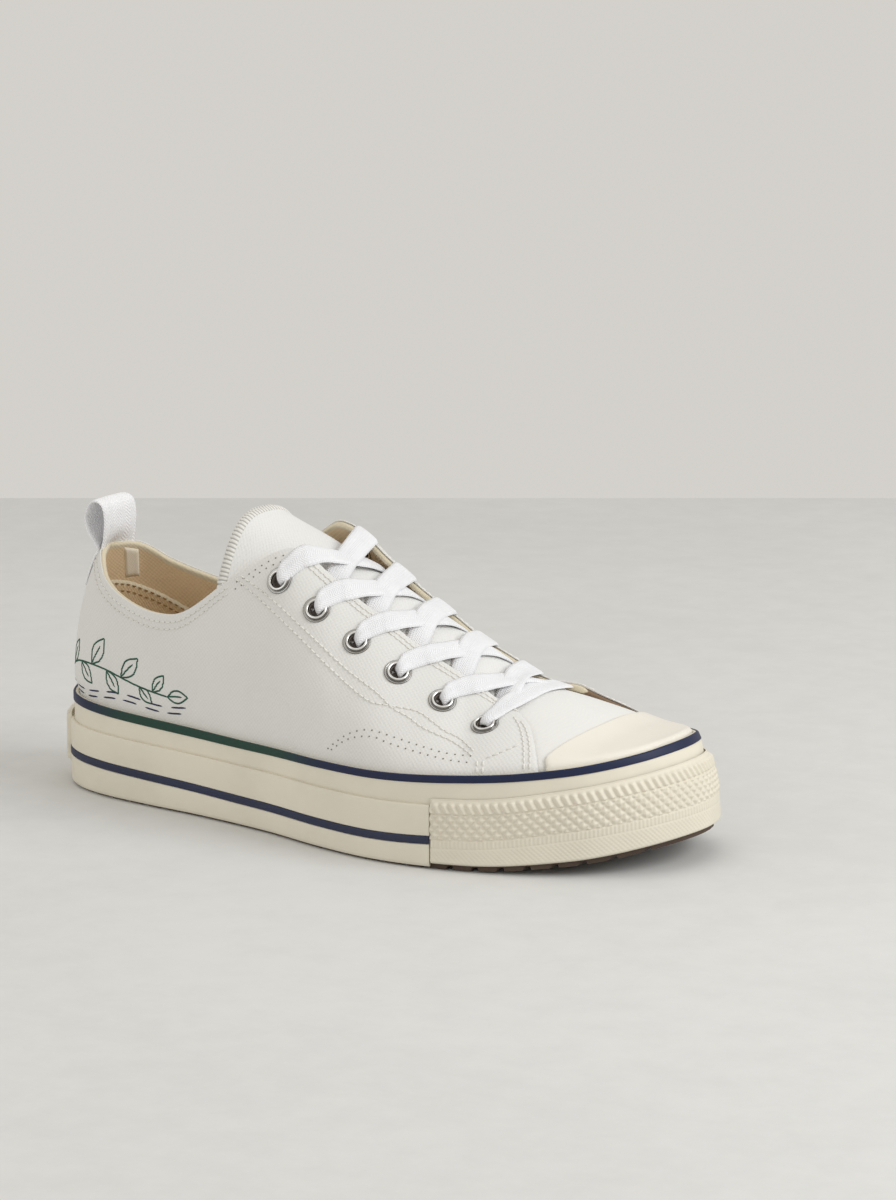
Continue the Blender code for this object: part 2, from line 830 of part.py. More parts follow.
def shell(name, grid, outs, inside, mat, loop, open_above=None):
    """Closed shell on a skin grid; outs holds one outer offset per column.

    Where two neighbouring columns are the same line, the offset steps there. Above the row
    open_above nothing joins such a pair, so that the second column may run on alone.
    """
    verts, dirs, index = grid_directions(grid, loop)
    points = []
    outer = {}
    inner = {}

    def outer_id(i, k):
        key = (index[i][k], outs[i])
        if key not in outer:
            outer[key] = len(points)
            points.append(verts[key[0]] + dirs[key[0]] * outs[i])
            under[outer[key]] = inner_id(index[i][k])
        return outer[key]

    def inner_id(v):
        if v not in inner:
            inner[v] = len(points)
            points.append(verts[v] + dirs[v] * inside)
        return inner[v]

    under = {}
    faces = []

    def add(face):
        clean = []
        for v in face:
            if v not in clean:
                clean.append(v)
        if len(clean) > 2:
            faces.append(tuple(clean))
            return True
        return False

    rows = len(grid[0])
    edges = {}
    spans = len(grid) if loop else len(grid) - 1
    for i in range(spans):
        j = (i + 1) % len(grid)
        twin = index[i][1] == index[j][1]
        for k in range(rows - 1):
            if twin and open_above is not None and k >= open_above:
                continue
            ring = [outer_id(i, k), outer_id(j, k), outer_id(j, k + 1), outer_id(i, k + 1)]
            clean = [v for n, v in enumerate(ring) if v not in ring[:n]]
            if len(clean) < 3:
                continue
            add(clean)
            for a, b in zip(clean, clean[1:] + clean[:1]):
                key = (min(a, b), max(a, b))
                edges[key] = edges.get(key, 0) + 1
            if not twin:
                add([under[v] for v in reversed(clean)])
    for (a, b), count in edges.items():
        if count == 1:
            add((a, b, under[b], under[a]))
    return make_object(name, points, faces, mat)


def skirt_bottom(x, side):
    return floor_height(foot_of_column(x, side)[0]) + CLEAR


def make_upper():
    """Quarters and vamp in one wall; the quarters stand a step above the vamp."""
    xs = level_xs()
    front = xs.index(QUARTER_FRONT)
    grid = []
    outs = []
    corner = {side: stop_angle(QUARTER_FRONT, side, quarter_cut) for side in (-1, 1)}

    def quarter_column(x, side):
        end = stop_angle(x, side, quarter_cut)
        angles = [end * min(k / LOW_ROWS, 1.0) for k in range(LOW_ROWS + HIGH_ROWS + 1)]
        grid.append(skin_column(x, side, skirt_bottom(x, side), angles))
        outs.append(QUARTER_T)

    def vamp_column(x, side):
        end = stop_angle(x, side, vamp_cut)
        middle = corner[side]
        angles = [middle * k / LOW_ROWS for k in range(LOW_ROWS)]
        angles += [middle + (end - middle) * k / HIGH_ROWS for k in range(HIGH_ROWS + 1)]
        grid.append(skin_column(x, side, skirt_bottom(x, side), angles))
        outs.append(0.0)

    for x in xs[: front + 1]:
        quarter_column(x, -1)
    for x in xs[front:]:
        vamp_column(x, -1)
    for x in xs[-2 : front - 1 : -1]:
        vamp_column(x, 1)
    for x in xs[front:0:-1]:
        quarter_column(x, 1)
    body = shell("upper", grid, outs, -LINING_T, canvas(), loop=True, open_above=LOW_ROWS + 1)
    tree = BVHTree.FromObject(body, bpy.context.evaluated_depsgraph_get())
    spots = [seat(tree, centre, normal) for centre, normal in eyelet_spots()]
    for spot, direction in spots:
        cutter = turned("cutter", [(0.0, -9.0), (EYELET_BARREL_R + HOLE_GAP, -9.0),
                                   (EYELET_BARREL_R + HOLE_GAP, 4.0), (0.0, 4.0)],
                        spot, direction, 10, canvas())
        boolean(body, cutter, "DIFFERENCE")
    return tree, spots


def make_toe_cap():
    xs = [x for x in level_xs() if x >= CAP_LEVEL]
    stations = [(x, -1) for x in xs] + [(x, 1) for x in xs[-2::-1]]
    grid = []
    for x, side in stations:
        end = stop_angle(x, side, cap_cut)
        angles = [end * k / CAP_ROWS for k in range(CAP_ROWS + 1)]
        grid.append(skin_column(x, side, stripe_top(x) - 6.0, angles))
    outs = [CAP_LIFT + CAP_T] * len(grid)
    return shell("toe_cap", grid, outs, CAP_LIFT, material("toe_cap_rubber", (0.80, 0.76, 0.66), 0.5), False)


def skin_at(x, y):
    """Height of the skin over a point of the plan, for the sloping part beside the throat."""
    side = -1 if y < ridge_y(x) else 1
    level = x + 12.0
    phi = 0.9
    step = 1e-4
    for _ in range(12):
        here = skin(level, side, phi)
        miss = np.array([x - here[0], y - here[1]])
        if abs(miss).max() < 1e-4:
            break
        by_level = (skin(level + step, side, phi) - here)[:2] / step
        by_phi = (skin(level, side, phi + step) - here)[:2] / step
        change = np.linalg.solve(np.stack([by_level, by_phi], axis=1), miss)
        level += min(max(change[0], -12.0), 12.0)
        phi = min(max(phi + min(max(change[1], -0.3), 0.3), 0.05), math.pi / 2 - 0.01)
    return here[2]


def skin_normal(x, y):
    e = 0.8
    dx = (skin_at(x + e, y) - skin_at(x - e, y)) / (2 * e)
    dy = (skin_at(x, y + e) - skin_at(x, y - e)) / (2 * e)
    n = np.array([-dx, -dy, 1.0])
    return n / np.linalg.norm(n)


def probe(tree, start, direction):
    """Where a ray from a point, in millimetres, first meets a body."""
    return np.array(tree.ray_cast(Vector(start) * MILLI, Vector(direction), 0.3)[0]) / MILLI


def seat(tree, centre, normal):
    """Set an eyelet square on the facets round its flange, clear of the highest."""
    across = np.cross(normal, (0.0, 1.0, 0.0))
    across /= np.linalg.norm(across)
    along = np.cross(normal, across)
    hits = []
    for k in range(12):
        turn = 2 * math.pi * k / 12
        rim = centre + (across * math.cos(turn) + along * math.sin(turn)) * EYELET_R
        hits.append(probe(tree, rim + normal * EYELET_R, -normal))
    hits = np.array(hits)
    middle = hits.mean(axis=0)
    square = np.linalg.svd(hits - middle)[2][2]
    square = square if square @ normal > 0 else -square
    return middle + square * ((hits - middle) @ square).max(), square


def eyelet_spots():
    """Centres on the quarter's face and the way each eyelet points, outer row then inner row."""
    spots = []
    for side in (-1, 1):
        for x in EYELET_X:
            y = ridge_y(x) + side * THROAT_HALF
            z = skin_at(x, y)
            walked = 0.0
            while walked < EYELET_ROW:
                ahead = skin_at(x, y + side)
                reach = math.hypot(1.0, ahead - z)
                part = min((EYELET_ROW - walked) / reach, 1.0)
                walked += reach
                y += side * part
                z += (ahead - z) * part
            normal = skin_normal(x, y)
            spots.append((np.array([x, y, z]) + normal * QUARTER_T, normal))
    return spots


def turned(name, profile, centre, axis, segments, mat):
    """Ring or pin turned about an axis; the profile holds (radius, height) pairs."""
    axis = Vector(axis).normalized()
    across = axis.cross(Vector((0, 1, 0))).normalized()
    along = axis.cross(across)
    centre = Vector(centre)
    verts = []
    for s in range(segments):
        angle = 2 * math.pi * s / segments
        outward = across * math.cos(angle) + along * math.sin(angle)
        for r, h in profile:
            verts.append(tuple(centre + outward * r + axis * h))
    n = len(profile)
    faces = []
    closed = profile[0][0] > 0
    for s in range(segments):
        t = (s + 1) % segments
        for k in range(n if closed else n - 1):
            m = (k + 1) % n
            if closed or profile[k][0] > 0 or profile[m][0] > 0:
                faces.append((s * n + k, s * n + m, t * n + m, t * n + k))
    return make_object(name, verts, faces, mat)


def make_eyelets(spots):
    profile = [
        (EYELET_HOLE_R, -2.4),
        (EYELET_BARREL_R, -2.4),
        (EYELET_BARREL_R, CLEAR),
        (EYELET_R, CLEAR),
        (EYELET_R - 1.3, CLEAR + 1.0),
        (EYELET_HOLE_R, CLEAR + 0.4),
    ]
    nickel = material("nickel", (0.62, 0.61, 0.60), 0.25, 1.0)
    for i, (spot, direction) in enumerate(spots):
        row = "outer" if i < len(EYELET_X) else "inner"
        turned(f"eyelet_{row}_{i % len(EYELET_X) + 1}", profile, spot, direction, 8, nickel)


def tongue_z(x, y):
    """Upper face of the tongue."""
    return tongue_top(x) - tongue_drop(x) * (abs(y - ridge_y(x)) / THROAT_HALF) ** 3


def make_tongue():
    rows = []
    for x in np.linspace(TONGUE_FRONT, TONGUE_TOP, 15):
        half = tongue_half(x)
        row = []
        for t in np.linspace(-1, 1, 9):
            y = ridge_y(x) + half * math.sin(t * math.pi / 2)
            row.append(np.array([x, y, tongue_z(x, y)]))
        rows.append(row)
    return shell("tongue", rows, [0.0] * len(rows), -TONGUE_T, canvas(), False)


def make_insole():
    xs = level_xs()
    stations = around(xs)
    verts = []
    for lift in (CLEAR, CLEAR + INSOLE_T):
        for x, side in stations:
            p = ring_point(x, side, INSOLE_IN, stripe_top(x))
            p[2] = floor_height(p[0]) + lift
            verts.append(p)
    size = len(stations)
    faces = []
    for i in range(size):
        j = (i + 1) % size
        faces.append((i, j, size + j, size + i))
    for face in ladder(len(xs) - 1):
        faces.append(face[::-1])
        faces.append(tuple(size + k for k in face))
    return make_object("insole", verts, faces, material("insole_cloth", (0.62, 0.48, 0.30), 0.9))


def heel_x(z):
    """Skin at the back of the heel at a height."""
    low = 0.0
    high = math.pi / 2
    for _ in range(30):
        phi = (low + high) / 2
        point = skin(-LENGTH / 2, -1, phi)
        if point[2] < z:
            low = phi
        else:
            high = phi
    return point[0]


def make_pull_loop(tree):
    """Tape loop: one leg down the back of the heel, one down the lining."""
    top = heel_x(HEEL_TOP)
    legs = [HEEL_TOP - down for down in LOOP_LEGS]
    free = np.array([(top + forward, HEEL_TOP + up) for forward, up in LOOP_PATH])
    tangent = np.gradient(free, axis=0)
    tangent /= np.linalg.norm(tangent, axis=1)[:, None]
    columns = []
    for share_across in (-0.5, -0.25, 0.0, 0.25, 0.5):
        y = share_across * LOOP_W
        bow = LOOP_HUG * y * y / LOOP_W
        pairs = []
        for z in legs:
            back = probe(tree, (-LENGTH, y, z), (1.0, 0.0, 0.0))[0] - LEG_GAP
            pairs.append([(back, y, z), (back - LOOP_T, y, z)])
        for p, t in zip(free, tangent):
            inner = (p[0] + bow, y, p[1])
            pairs.append([inner, (inner[0] - t[1] * LOOP_T, y, p[1] + t[0] * LOOP_T)])
        for z in legs[::-1]:
            front = probe(tree, (SPINE_HEEL, y, z), (-1.0, 0.0, 0.0))[0] + LEG_GAP + LEG_GAP_IN
            pairs.append([(front, y, z), (front + LOOP_T, y, z)])
        columns.append(pairs)
    return ribbon("pull_loop", [list(row) for row in zip(*columns)], cotton())


def cover(x, y, over):
    """Height of what lies under a lace; over lists the sides where it crosses the throat edge."""
    side = 1 if y > ridge_y(x) else -1
    off = abs(y - ridge_y(x))
    low = tongue_z(x, y)
    if x > THROAT_END - 5:
        low = max(low, skin_at(x, ridge_y(x) + side * max(off, 0.5)))
    if side in over and off > THROAT_HALF - LACE_EASE:
        edge = ridge_y(x) + side * max(off, THROAT_HALF)
        low = max(low, skin_at(x, edge) + QUARTER_T / skin_normal(x, edge)[2])
    return low


def lace_rows(start, end, over, hump):
    """Rows across one run of lace from the start (x, y off the middle) to the end."""
    run = np.array([end[0] - start[0], end[1] - start[1]])
    run /= np.linalg.norm(run)
    rows = []
    for t in LACE_STEPS:
        x = start[0] + (end[0] - start[0]) * t
        off = start[1] + (end[1] - start[1]) * t
        rise = LACE_LIFT + hump * max(1 - (off / LACE_HUMP_OVER) ** 2, 0.0)
        row = []
        for part in (-0.5, 0.5):
            px = x - run[1] * LACE_W * part
            py = ridge_y(x) + off + run[0] * LACE_W * part
            z = cover(px, py, over) + rise
            row.append([(px, py, z), (px, py, z + LACE_T)])
        rows.append(row)
    return rows


def ribbon(name, rows, mat):
    """Closed strip from rows of (under, over) point pairs."""
    wide = len(rows[0])
    verts = [p for row in rows for pair in row for p in pair]

    def at(i, k, over):
        return (i * wide + k) * 2 + over

    faces = []
    for i in range(len(rows) - 1):
        for k in range(wide - 1):
            faces.append((at(i, k, 0), at(i + 1, k, 0), at(i + 1, k + 1, 0), at(i, k + 1, 0)))
            faces.append((at(i, k, 1), at(i, k + 1, 1), at(i + 1, k + 1, 1), at(i + 1, k, 1)))
        for k in (0, wide - 1):
            faces.append((at(i, k, 0), at(i, k, 1), at(i + 1, k, 1), at(i + 1, k, 0)))
    for i in (0, len(rows) - 1):
        for k in range(wide - 1):
            faces.append((at(i, k, 0), at(i, k + 1, 0), at(i, k + 1, 1), at(i, k, 1)))
    return make_object(name, verts, faces, mat)


def make_laces():
    """Five crossings and the front bar, each one joined solid that ends short of the eyelets."""
    out = THROAT_HALF + LACE_REACH
    for i in range(len(EYELET_X) - 1):
        dive = THROAT_HALF - LACE_DIVE
        over_x = EYELET_X[i] + LACE_AHEAD
        under_x = EYELET_X[i + 1] - LACE_BEHIND
        if i == len(EYELET_X) - 2:
            dive -= LACE_SHORT
            under_x -= LACE_SHORT
        name = f"lace_cross_{i + 1}"
        low = ribbon(name, lace_rows((over_x, -out), (under_x, dive), (-1,), 0.0), cotton())
        high = lace_rows((over_x, out), (under_x, -dive), (1,), LACE_T - LACE_SINK)
        boolean(low, ribbon("upper_run", high, cotton()), "UNION")
    bar_x = EYELET_X[-1] + LACE_BAR_AHEAD
    ribbon("lace_bar", lace_rows((bar_x, -out), (bar_x, out), (-1, 1), 0.0), cotton())


def centre():
    """Move every solid by one step, so that the shoe's box is centred on the origin."""
    points = np.array([v.co for made in bpy.data.objects for v in made.data.vertices])
    step = -(points.min(axis=0) + points.max(axis=0)) / 2
    for made in bpy.data.objects:
        made.data.transform(Matrix.Translation((step[0], step[1], 0.0)))


def main():
    clear_scene()
    make_outsole()
    make_sole_body()
    make_foxing_tape()
    make_lower_stripe()
    make_top_stripe()
    make_toe_bumper()
    make_heel_patch()
    make_insole()
    tree, spots = make_upper()
    make_toe_cap()
    make_tongue()
    make_pull_loop(tree)
    make_eyelets(spots)
    make_laces()
    centre()


main()
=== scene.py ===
"""Looks of the low canvas sneaker: fine meshes, cloth and rubber, lace, stitching, light and camera.

Lengths are in millimetres in the shoe's own axes: +X heel to toe, +Y to the inner side, +Z up.
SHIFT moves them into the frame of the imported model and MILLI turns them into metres.
"""
import bisect
import math

import bmesh
import bpy
import numpy as np
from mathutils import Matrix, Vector
from mathutils.bvhtree import BVHTree


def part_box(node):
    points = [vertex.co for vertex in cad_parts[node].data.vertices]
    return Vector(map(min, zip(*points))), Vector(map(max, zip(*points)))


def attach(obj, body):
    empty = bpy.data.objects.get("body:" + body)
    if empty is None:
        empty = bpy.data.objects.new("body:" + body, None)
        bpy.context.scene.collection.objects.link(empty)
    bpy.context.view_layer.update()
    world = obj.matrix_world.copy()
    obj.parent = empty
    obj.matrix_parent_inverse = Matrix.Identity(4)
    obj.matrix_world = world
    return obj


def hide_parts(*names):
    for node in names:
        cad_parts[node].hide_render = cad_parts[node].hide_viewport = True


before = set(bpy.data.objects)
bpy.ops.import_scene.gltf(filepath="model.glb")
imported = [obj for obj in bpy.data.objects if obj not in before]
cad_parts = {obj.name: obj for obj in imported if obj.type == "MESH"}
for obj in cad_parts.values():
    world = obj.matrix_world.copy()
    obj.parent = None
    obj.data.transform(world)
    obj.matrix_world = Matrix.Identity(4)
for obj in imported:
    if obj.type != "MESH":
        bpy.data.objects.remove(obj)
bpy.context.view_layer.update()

LENGTH = 270.0
BALL = 100.0
FOXING = 36.0
HEEL_TOP = 90.0
INSTEP = 110.0
CLEAR = 0.3
TAPE_T = 1.2
WALL_T = 1.7
STRIPE_PROUD = 0.4
LOW_STRIPE_PROUD = 0.2
TOP_STRIPE_H = 3.3
LOW_STRIPE_H = 3.0
BUMPER_IN = 0.85
TOE_LEAN = 9.5
PATCH_T = 1.2
PATCH_W = 36.0
PATCH_LOW = 7.5
PATCH_HIGH = 27.0
RUBBER_LOW = 0.8
FLOOR_HEEL = 16.0
FLOOR_BALL = 11.0
LINING_T = 1.6
QUARTER_T = 1.2
SWELL_OVER = 6.0
BEND = 5.5
BEND_SPREAD = 14.0
CAP_T = 0.65
CAP_LIFT = 0.55
THROAT_HALF = 0.19 * BALL
THROAT_END = 0.237 * LENGTH
THROAT_REAR = -0.222 * LENGTH
COLLAR_BACK = 0.037 * LENGTH
COLLAR_BACK_FROM = -0.315
COLLAR_BACK_OVER = 0.130
QUARTER_FRONT = 0.339 * LENGTH
CAP_FRONT_X = 0.3352 * LENGTH
CAP_LEVEL = 0.348 * LENGTH
CAP_BOW = 4.5
SPINE_HEEL = -0.3593 * LENGTH
SPINE_TOE = 0.3259 * LENGTH
TONGUE_T = 2.2
TONGUE_FRONT = 0.274 * LENGTH
TONGUE_TOP = -0.185 * LENGTH
LOOP_W = 0.21 * BALL
LOOP_T = 1.2
LOOP_HUG = 0.16
EYELET_HOLE_R = 2.7
EYELET_ROW = 0.146 * BALL
EYELET_ALONG = (-0.0844, -0.0233, 0.0389, 0.1019, 0.1685, 0.2333)
EYELET_X = tuple(share * LENGTH for share in EYELET_ALONG)
LACE_W = 8.4
LACE_T = 1.1
TAPE_IN = TAPE_T
WALL_OUT = TAPE_IN + CLEAR
WALL_IN = WALL_OUT + WALL_T
STRIPE_OUT = WALL_OUT - STRIPE_PROUD
QUARTER_OUT = WALL_IN + CLEAR
BASE = QUARTER_OUT + QUARTER_T
BUMPER_X = 0.2019 * LENGTH
TOE_TIP = 0.050
MILLI = 0.001

# Plan of the sole: share of LENGTH from the heel, then outer and inner half width as shares of BALL
PLAN = (
    (0.012, 0.090, 0.090),
    (0.035, 0.198, 0.200),
    (0.070, 0.270, 0.275),
    (0.120, 0.318, 0.320),
    (0.200, 0.352, 0.345),
    (0.300, 0.382, 0.340),
    (0.420, 0.442, 0.335),
    (0.520, 0.518, 0.355),
    (0.600, 0.558, 0.400),
    (0.680, 0.558, 0.440),
    (0.760, 0.518, 0.468),
    (0.840, 0.445, 0.450),
    (0.900, 0.365, 0.400),
    (0.950, 0.255, 0.322),
    (0.983, 0.130, 0.222),
)

# Heights along the rubber side: share of LENGTH, then shares of FOXING
SIDE = (
    # along, underside, lower stripe, step, top stripe, toe band
    (0.00, 0.015, 0.405, 0.690, 0.995, 0.700),
    (0.05, 0.000, 0.398, 0.683, 0.980, 0.700),
    (0.20, 0.000, 0.367, 0.658, 0.936, 0.700),
    (0.40, 0.000, 0.322, 0.630, 0.892, 0.700),
    (0.60, 0.000, 0.314, 0.628, 0.905, 0.695),
    (0.75, 0.010, 0.361, 0.661, 0.967, 0.731),
    (0.88, 0.105, 0.458, 0.747, 1.072, 0.869),
    (1.00, 0.289, 0.636, 0.917, 1.219, 1.033),
)

# Body of the upper: share of LENGTH, the ridge's height in shares of HEEL_TOP and of INSTEP, roundness
BODY = (
    (0.000, 1.137, 0.000, 2.20),
    (0.070, 1.179, 0.000, 2.25),
    (0.150, 1.222, 0.000, 2.60),
    (0.250, 0.620, 0.518, 2.90),
    (0.340, 0.000, 1.020, 2.80),
    (0.416, 0.000, 0.979, 2.70),
    (0.477, 0.000, 0.885, 2.30),
    (0.539, 0.000, 0.806, 1.80),
    (0.600, 0.000, 0.723, 1.58),
    (0.668, 0.000, 0.632, 1.36),
    (0.733, 0.000, 0.504, 1.32),
    (0.780, 0.000, 0.478, 1.60),
    (0.830, 0.000, 0.445, 1.75),
    (0.890, 0.000, 0.396, 1.85),
    (0.960, 0.000, 0.388, 2.00),
    (1.000, 0.000, 0.388, 2.00),
)

# How far the upper swells beyond its foot: share of LENGTH, then outer and inner as shares of BALL
SWELL = (
    (0.00, 0.020, 0.020),
    (0.06, 0.016, 0.018),
    (0.15, 0.008, 0.020),
    (0.30, 0.002, 0.050),
    (0.42, 0.000, 0.080),
    (0.52, 0.000, 0.080),
    (0.60, 0.000, 0.060),
    (0.70, 0.000, 0.035),
    (0.82, 0.000, 0.000),
    (1.00, 0.000, 0.000),
)

# Collar line: share of LENGTH, then the height's shares of HEEL_TOP and of INSTEP
COLLAR = (
    (0.000, 1.010, 0.000),
    (0.065, 1.000, 0.000),
    (0.105, 0.906, 0.000),
    (0.133, 0.864, 0.000),
    (0.167, 0.830, 0.000),
    (0.196, 0.810, 0.000),
    (0.241, 0.812, 0.000),
    (0.281, 0.600, 0.222),
    (0.324, 0.350, 0.510),
    (0.380, 0.000, 0.884),
    (0.426, 0.000, 0.949),
    (0.500, 0.000, 1.064),
    (1.000, 0.000, 1.800),
)

# Middle line of the ridge and throat: share of LENGTH and share of BALL
MIDDLE = (
    (0.00, 0.000),
    (0.30, -0.020),
    (0.43, -0.030),
    (0.74, 0.020),
    (0.83, 0.045),
    (1.00, 0.060),
)

# Tongue: share of LENGTH, middle height as a share of INSTEP, fall at the throat edge, half width
# as a share of BALL
TONGUE = (
    (0.315, 1.010, 7.0, 0.258),
    (0.370, 0.955, 6.6, 0.245),
    (0.426, 0.893, 5.8, 0.250),
    (0.480, 0.826, 5.4, 0.230),
    (0.540, 0.748, 6.5, 0.200),
    (0.600, 0.668, 6.7, 0.186),
    (0.668, 0.578, 5.9, 0.172),
    (0.705, 0.520, 4.4, 0.165),
    (0.740, 0.462, 3.6, 0.155),
    (0.780, 0.425, 3.2, 0.150),
)

# Rubber tray under the insole: share of LENGTH and thickness above the underside
TRAY = (
    (0.00, FLOOR_HEEL),
    (0.25, FLOOR_HEEL),
    (0.60, FLOOR_BALL),
    (1.00, FLOOR_BALL),
)

# Free part of the pull loop: forward of the heel's top edge, above HEEL_TOP
LOOP_PATH = (
    (-3.0, 6.0),
    (-4.2, 11.0),
    (-2.4, 15.8),
    (0.6, 17.6),
    (3.8, 15.8),
    (4.8, 11.0),
    (4.4, 5.0),
)


class Curve:
    """Smooth curve through two columns of a short table; it never overshoots its points."""

    def __init__(self, table, index, scale=1.0):
        self.xs = [row[0] for row in table]
        self.ys = [row[index] * scale for row in table]
        step = [b - a for a, b in zip(self.xs, self.xs[1:])]
        slope = [(b - a) / h for a, b, h in zip(self.ys, self.ys[1:], step)]
        inner = []
        for i in range(1, len(self.xs) - 1):
            flat = slope[i - 1] * slope[i] <= 0
            left = 2 * step[i] + step[i - 1]
            right = step[i] + 2 * step[i - 1]
            inner.append(0.0 if flat else (left + right) / (left / slope[i - 1] + right / slope[i]))
        self.tangents = [slope[0]] + inner + [slope[-1]]

    def __call__(self, x):
        """Value at x millimetres along the shoe."""
        x = min(max(x / LENGTH + 0.5, self.xs[0]), self.xs[-1])
        k = min(bisect.bisect_right(self.xs, x), len(self.xs) - 1) - 1
        h = self.xs[k + 1] - self.xs[k]
        t = (x - self.xs[k]) / h
        start = self.ys[k] * (1 + 2 * t) + self.tangents[k] * h * t
        end = self.ys[k + 1] * (3 - 2 * t) - self.tangents[k + 1] * h * (1 - t)
        return start * (1 - t) ** 2 + end * t * t


underside = Curve(SIDE, 1, FOXING)
low_stripe_top = Curve(SIDE, 2, FOXING)
step_top = Curve(SIDE, 3, FOXING)
stripe_top = Curve(SIDE, 4, FOXING)
bumper_top = Curve(SIDE, 5, FOXING)
ridge_heel_z = Curve(BODY, 1, HEEL_TOP)
ridge_instep_z = Curve(BODY, 2, INSTEP)
roundness = Curve(BODY, 3)
outer_swell = Curve(SWELL, 1, BALL)
inner_swell = Curve(SWELL, 2, BALL)
collar_heel_z = Curve(COLLAR, 1, HEEL_TOP)
collar_instep_z = Curve(COLLAR, 2, INSTEP)
ridge_y = Curve(MIDDLE, 1, BALL)
tongue_top = Curve(TONGUE, 1, INSTEP)
tongue_drop = Curve(TONGUE, 2)
tongue_half = Curve(TONGUE, 3, BALL)
tray = Curve(TRAY, 1)


def smooth(t):
    t = min(max(t, 0.0), 1.0)
    return t * t * (3 - 2 * t)


def unit(v):
    return v / max(np.linalg.norm(v), 1e-12)


def share(x):
    return x / LENGTH + 0.5


def arcs_of(points):
    """Way along a line of points, from 0 at the first of them."""
    return np.concatenate([[0], np.cumsum(np.linalg.norm(np.diff(points, axis=0), axis=1))])


def at_arc(arc, arcs, table):
    """Values between the rows of a table, at one way along it or at several."""
    return np.stack([np.interp(arc, arcs, table[:, k]) for k in range(table.shape[1])], axis=-1)


def closed_curve(points, count):
    """Closed curve through points, evenly spaced."""
    points = np.asarray(points, float)
    n = len(points)
    dense = []
    for i in range(n):
        p0, p1, p2, p3 = (points[(i + k - 1) % n] for k in range(4))
        d1 = np.linalg.norm(p1 - p0) ** 0.5
        d2 = np.linalg.norm(p2 - p1) ** 0.5
        d3 = np.linalg.norm(p3 - p2) ** 0.5
        m1 = (p1 - p0) / d1 - (p2 - p0) / (d1 + d2) + (p2 - p1) / d2
        m2 = (p2 - p1) / d2 - (p3 - p1) / (d2 + d3) + (p3 - p2) / d3
        m1 = m1 * d2
        m2 = m2 * d2
        for t in np.linspace(0, 1, 40, endpoint=False):
            a = 2 * t**3 - 3 * t**2 + 1
            b = t**3 - 2 * t**2 + t
            c = -2 * t**3 + 3 * t**2
            d = t**3 - t**2
            dense.append(a * p1 + b * m1 + c * p2 + d * m2)
    dense = np.array(dense + dense[:1])
    length = arcs_of(dense)
    return at_arc(np.linspace(0, length[-1], count, endpoint=False), length, dense)


def make_outline():
    half = LENGTH / 2
    outer = [(along * LENGTH - half, -out * BALL) for along, out, inner in PLAN]
    inner = [(along * LENGTH - half, inner * BALL) for along, out, inner in PLAN]
    ring = [(-half, 0.0)] + outer + [(half, TOE_TIP * BALL)] + inner[::-1]
    curve = closed_curve(ring, 1440)
    tangent = np.roll(curve, -3, axis=0) - np.roll(curve, 3, axis=0)
    tangent /= np.linalg.norm(tangent, axis=1)[:, None]
    normal = np.stack([tangent[:, 1], -tangent[:, 0]], axis=1)
    heel = int(np.argmin(curve[:, 0]))
    curve = np.roll(curve, -heel, axis=0)
    normal = np.roll(normal, -heel, axis=0)
    return curve, normal, int(np.argmax(curve[:, 0]))


OUTLINE, NORMALS, TOE_INDEX = make_outline()
OUTLINE_LENGTH = np.linalg.norm(OUTLINE - np.roll(OUTLINE, 1, axis=0), axis=1).sum()


def half_outline(side):
    """Outline and normals from heel to toe along one side: -1 is the outer side, +1 the inner."""
    if side < 0:
        return OUTLINE[: TOE_INDEX + 1], NORMALS[: TOE_INDEX + 1]
    return [np.concatenate([line[:1], line[: TOE_INDEX - 1 : -1]]) for line in (OUTLINE, NORMALS)]


HALVES = {side: half_outline(side) for side in (-1, 1)}


def edge_point(x, side):
    """Point and outward normal of the outline at x on one side."""
    curve, normal = HALVES[side]
    xs = np.maximum.accumulate(curve[:, 0])
    x = min(max(x, xs[0]), xs[-1])
    nx, ny = at_arc(x, xs, normal)
    size = math.hypot(nx, ny)
    return np.array([x, np.interp(x, xs, curve[:, 1])]), np.array([nx / size, ny / size])


def lean(x, z):
    """How far the rubber at the toe leans in by height z."""
    front = min(max((share(x) - 0.80) / 0.20, 0.0), 1.0) ** 1.5
    rise = min(max((z - underside(x)) / (stripe_top(x) - underside(x)), 0.0), 1.0)
    return TOE_LEAN * front * (0.12 + 0.88 * rise ** 2.4)


def floor_height(x):
    """Top of the rubber tray under the insole."""
    return tray(x) + underside(x)


def head_of_column(x):
    t = share(x)
    head = SPINE_HEEL + (SPINE_TOE - SPINE_HEEL) * t
    return np.array([head, ridge_y(head)])


def start_height(x):
    """Height from which the skin begins to round over."""
    return stripe_top(x) + CLEAR


def column_bend(x, rho):
    """Columns near the front of the quarter bow back, so that its corner is rounded."""
    near = math.exp(-(((x - QUARTER_FRONT) / BEND_SPREAD) ** 2))
    return BEND * near * math.exp(-(((rho - 0.42) / 0.15) ** 2))


def swell_of(x, side, rise):
    """Swell of the upper at a height above the start of its rounding."""
    full = outer_swell(x) if side < 0 else inner_swell(x)
    t = min(max(rise / SWELL_OVER, 0.0), 1.0)
    return full * t * t * (3 - 2 * t)


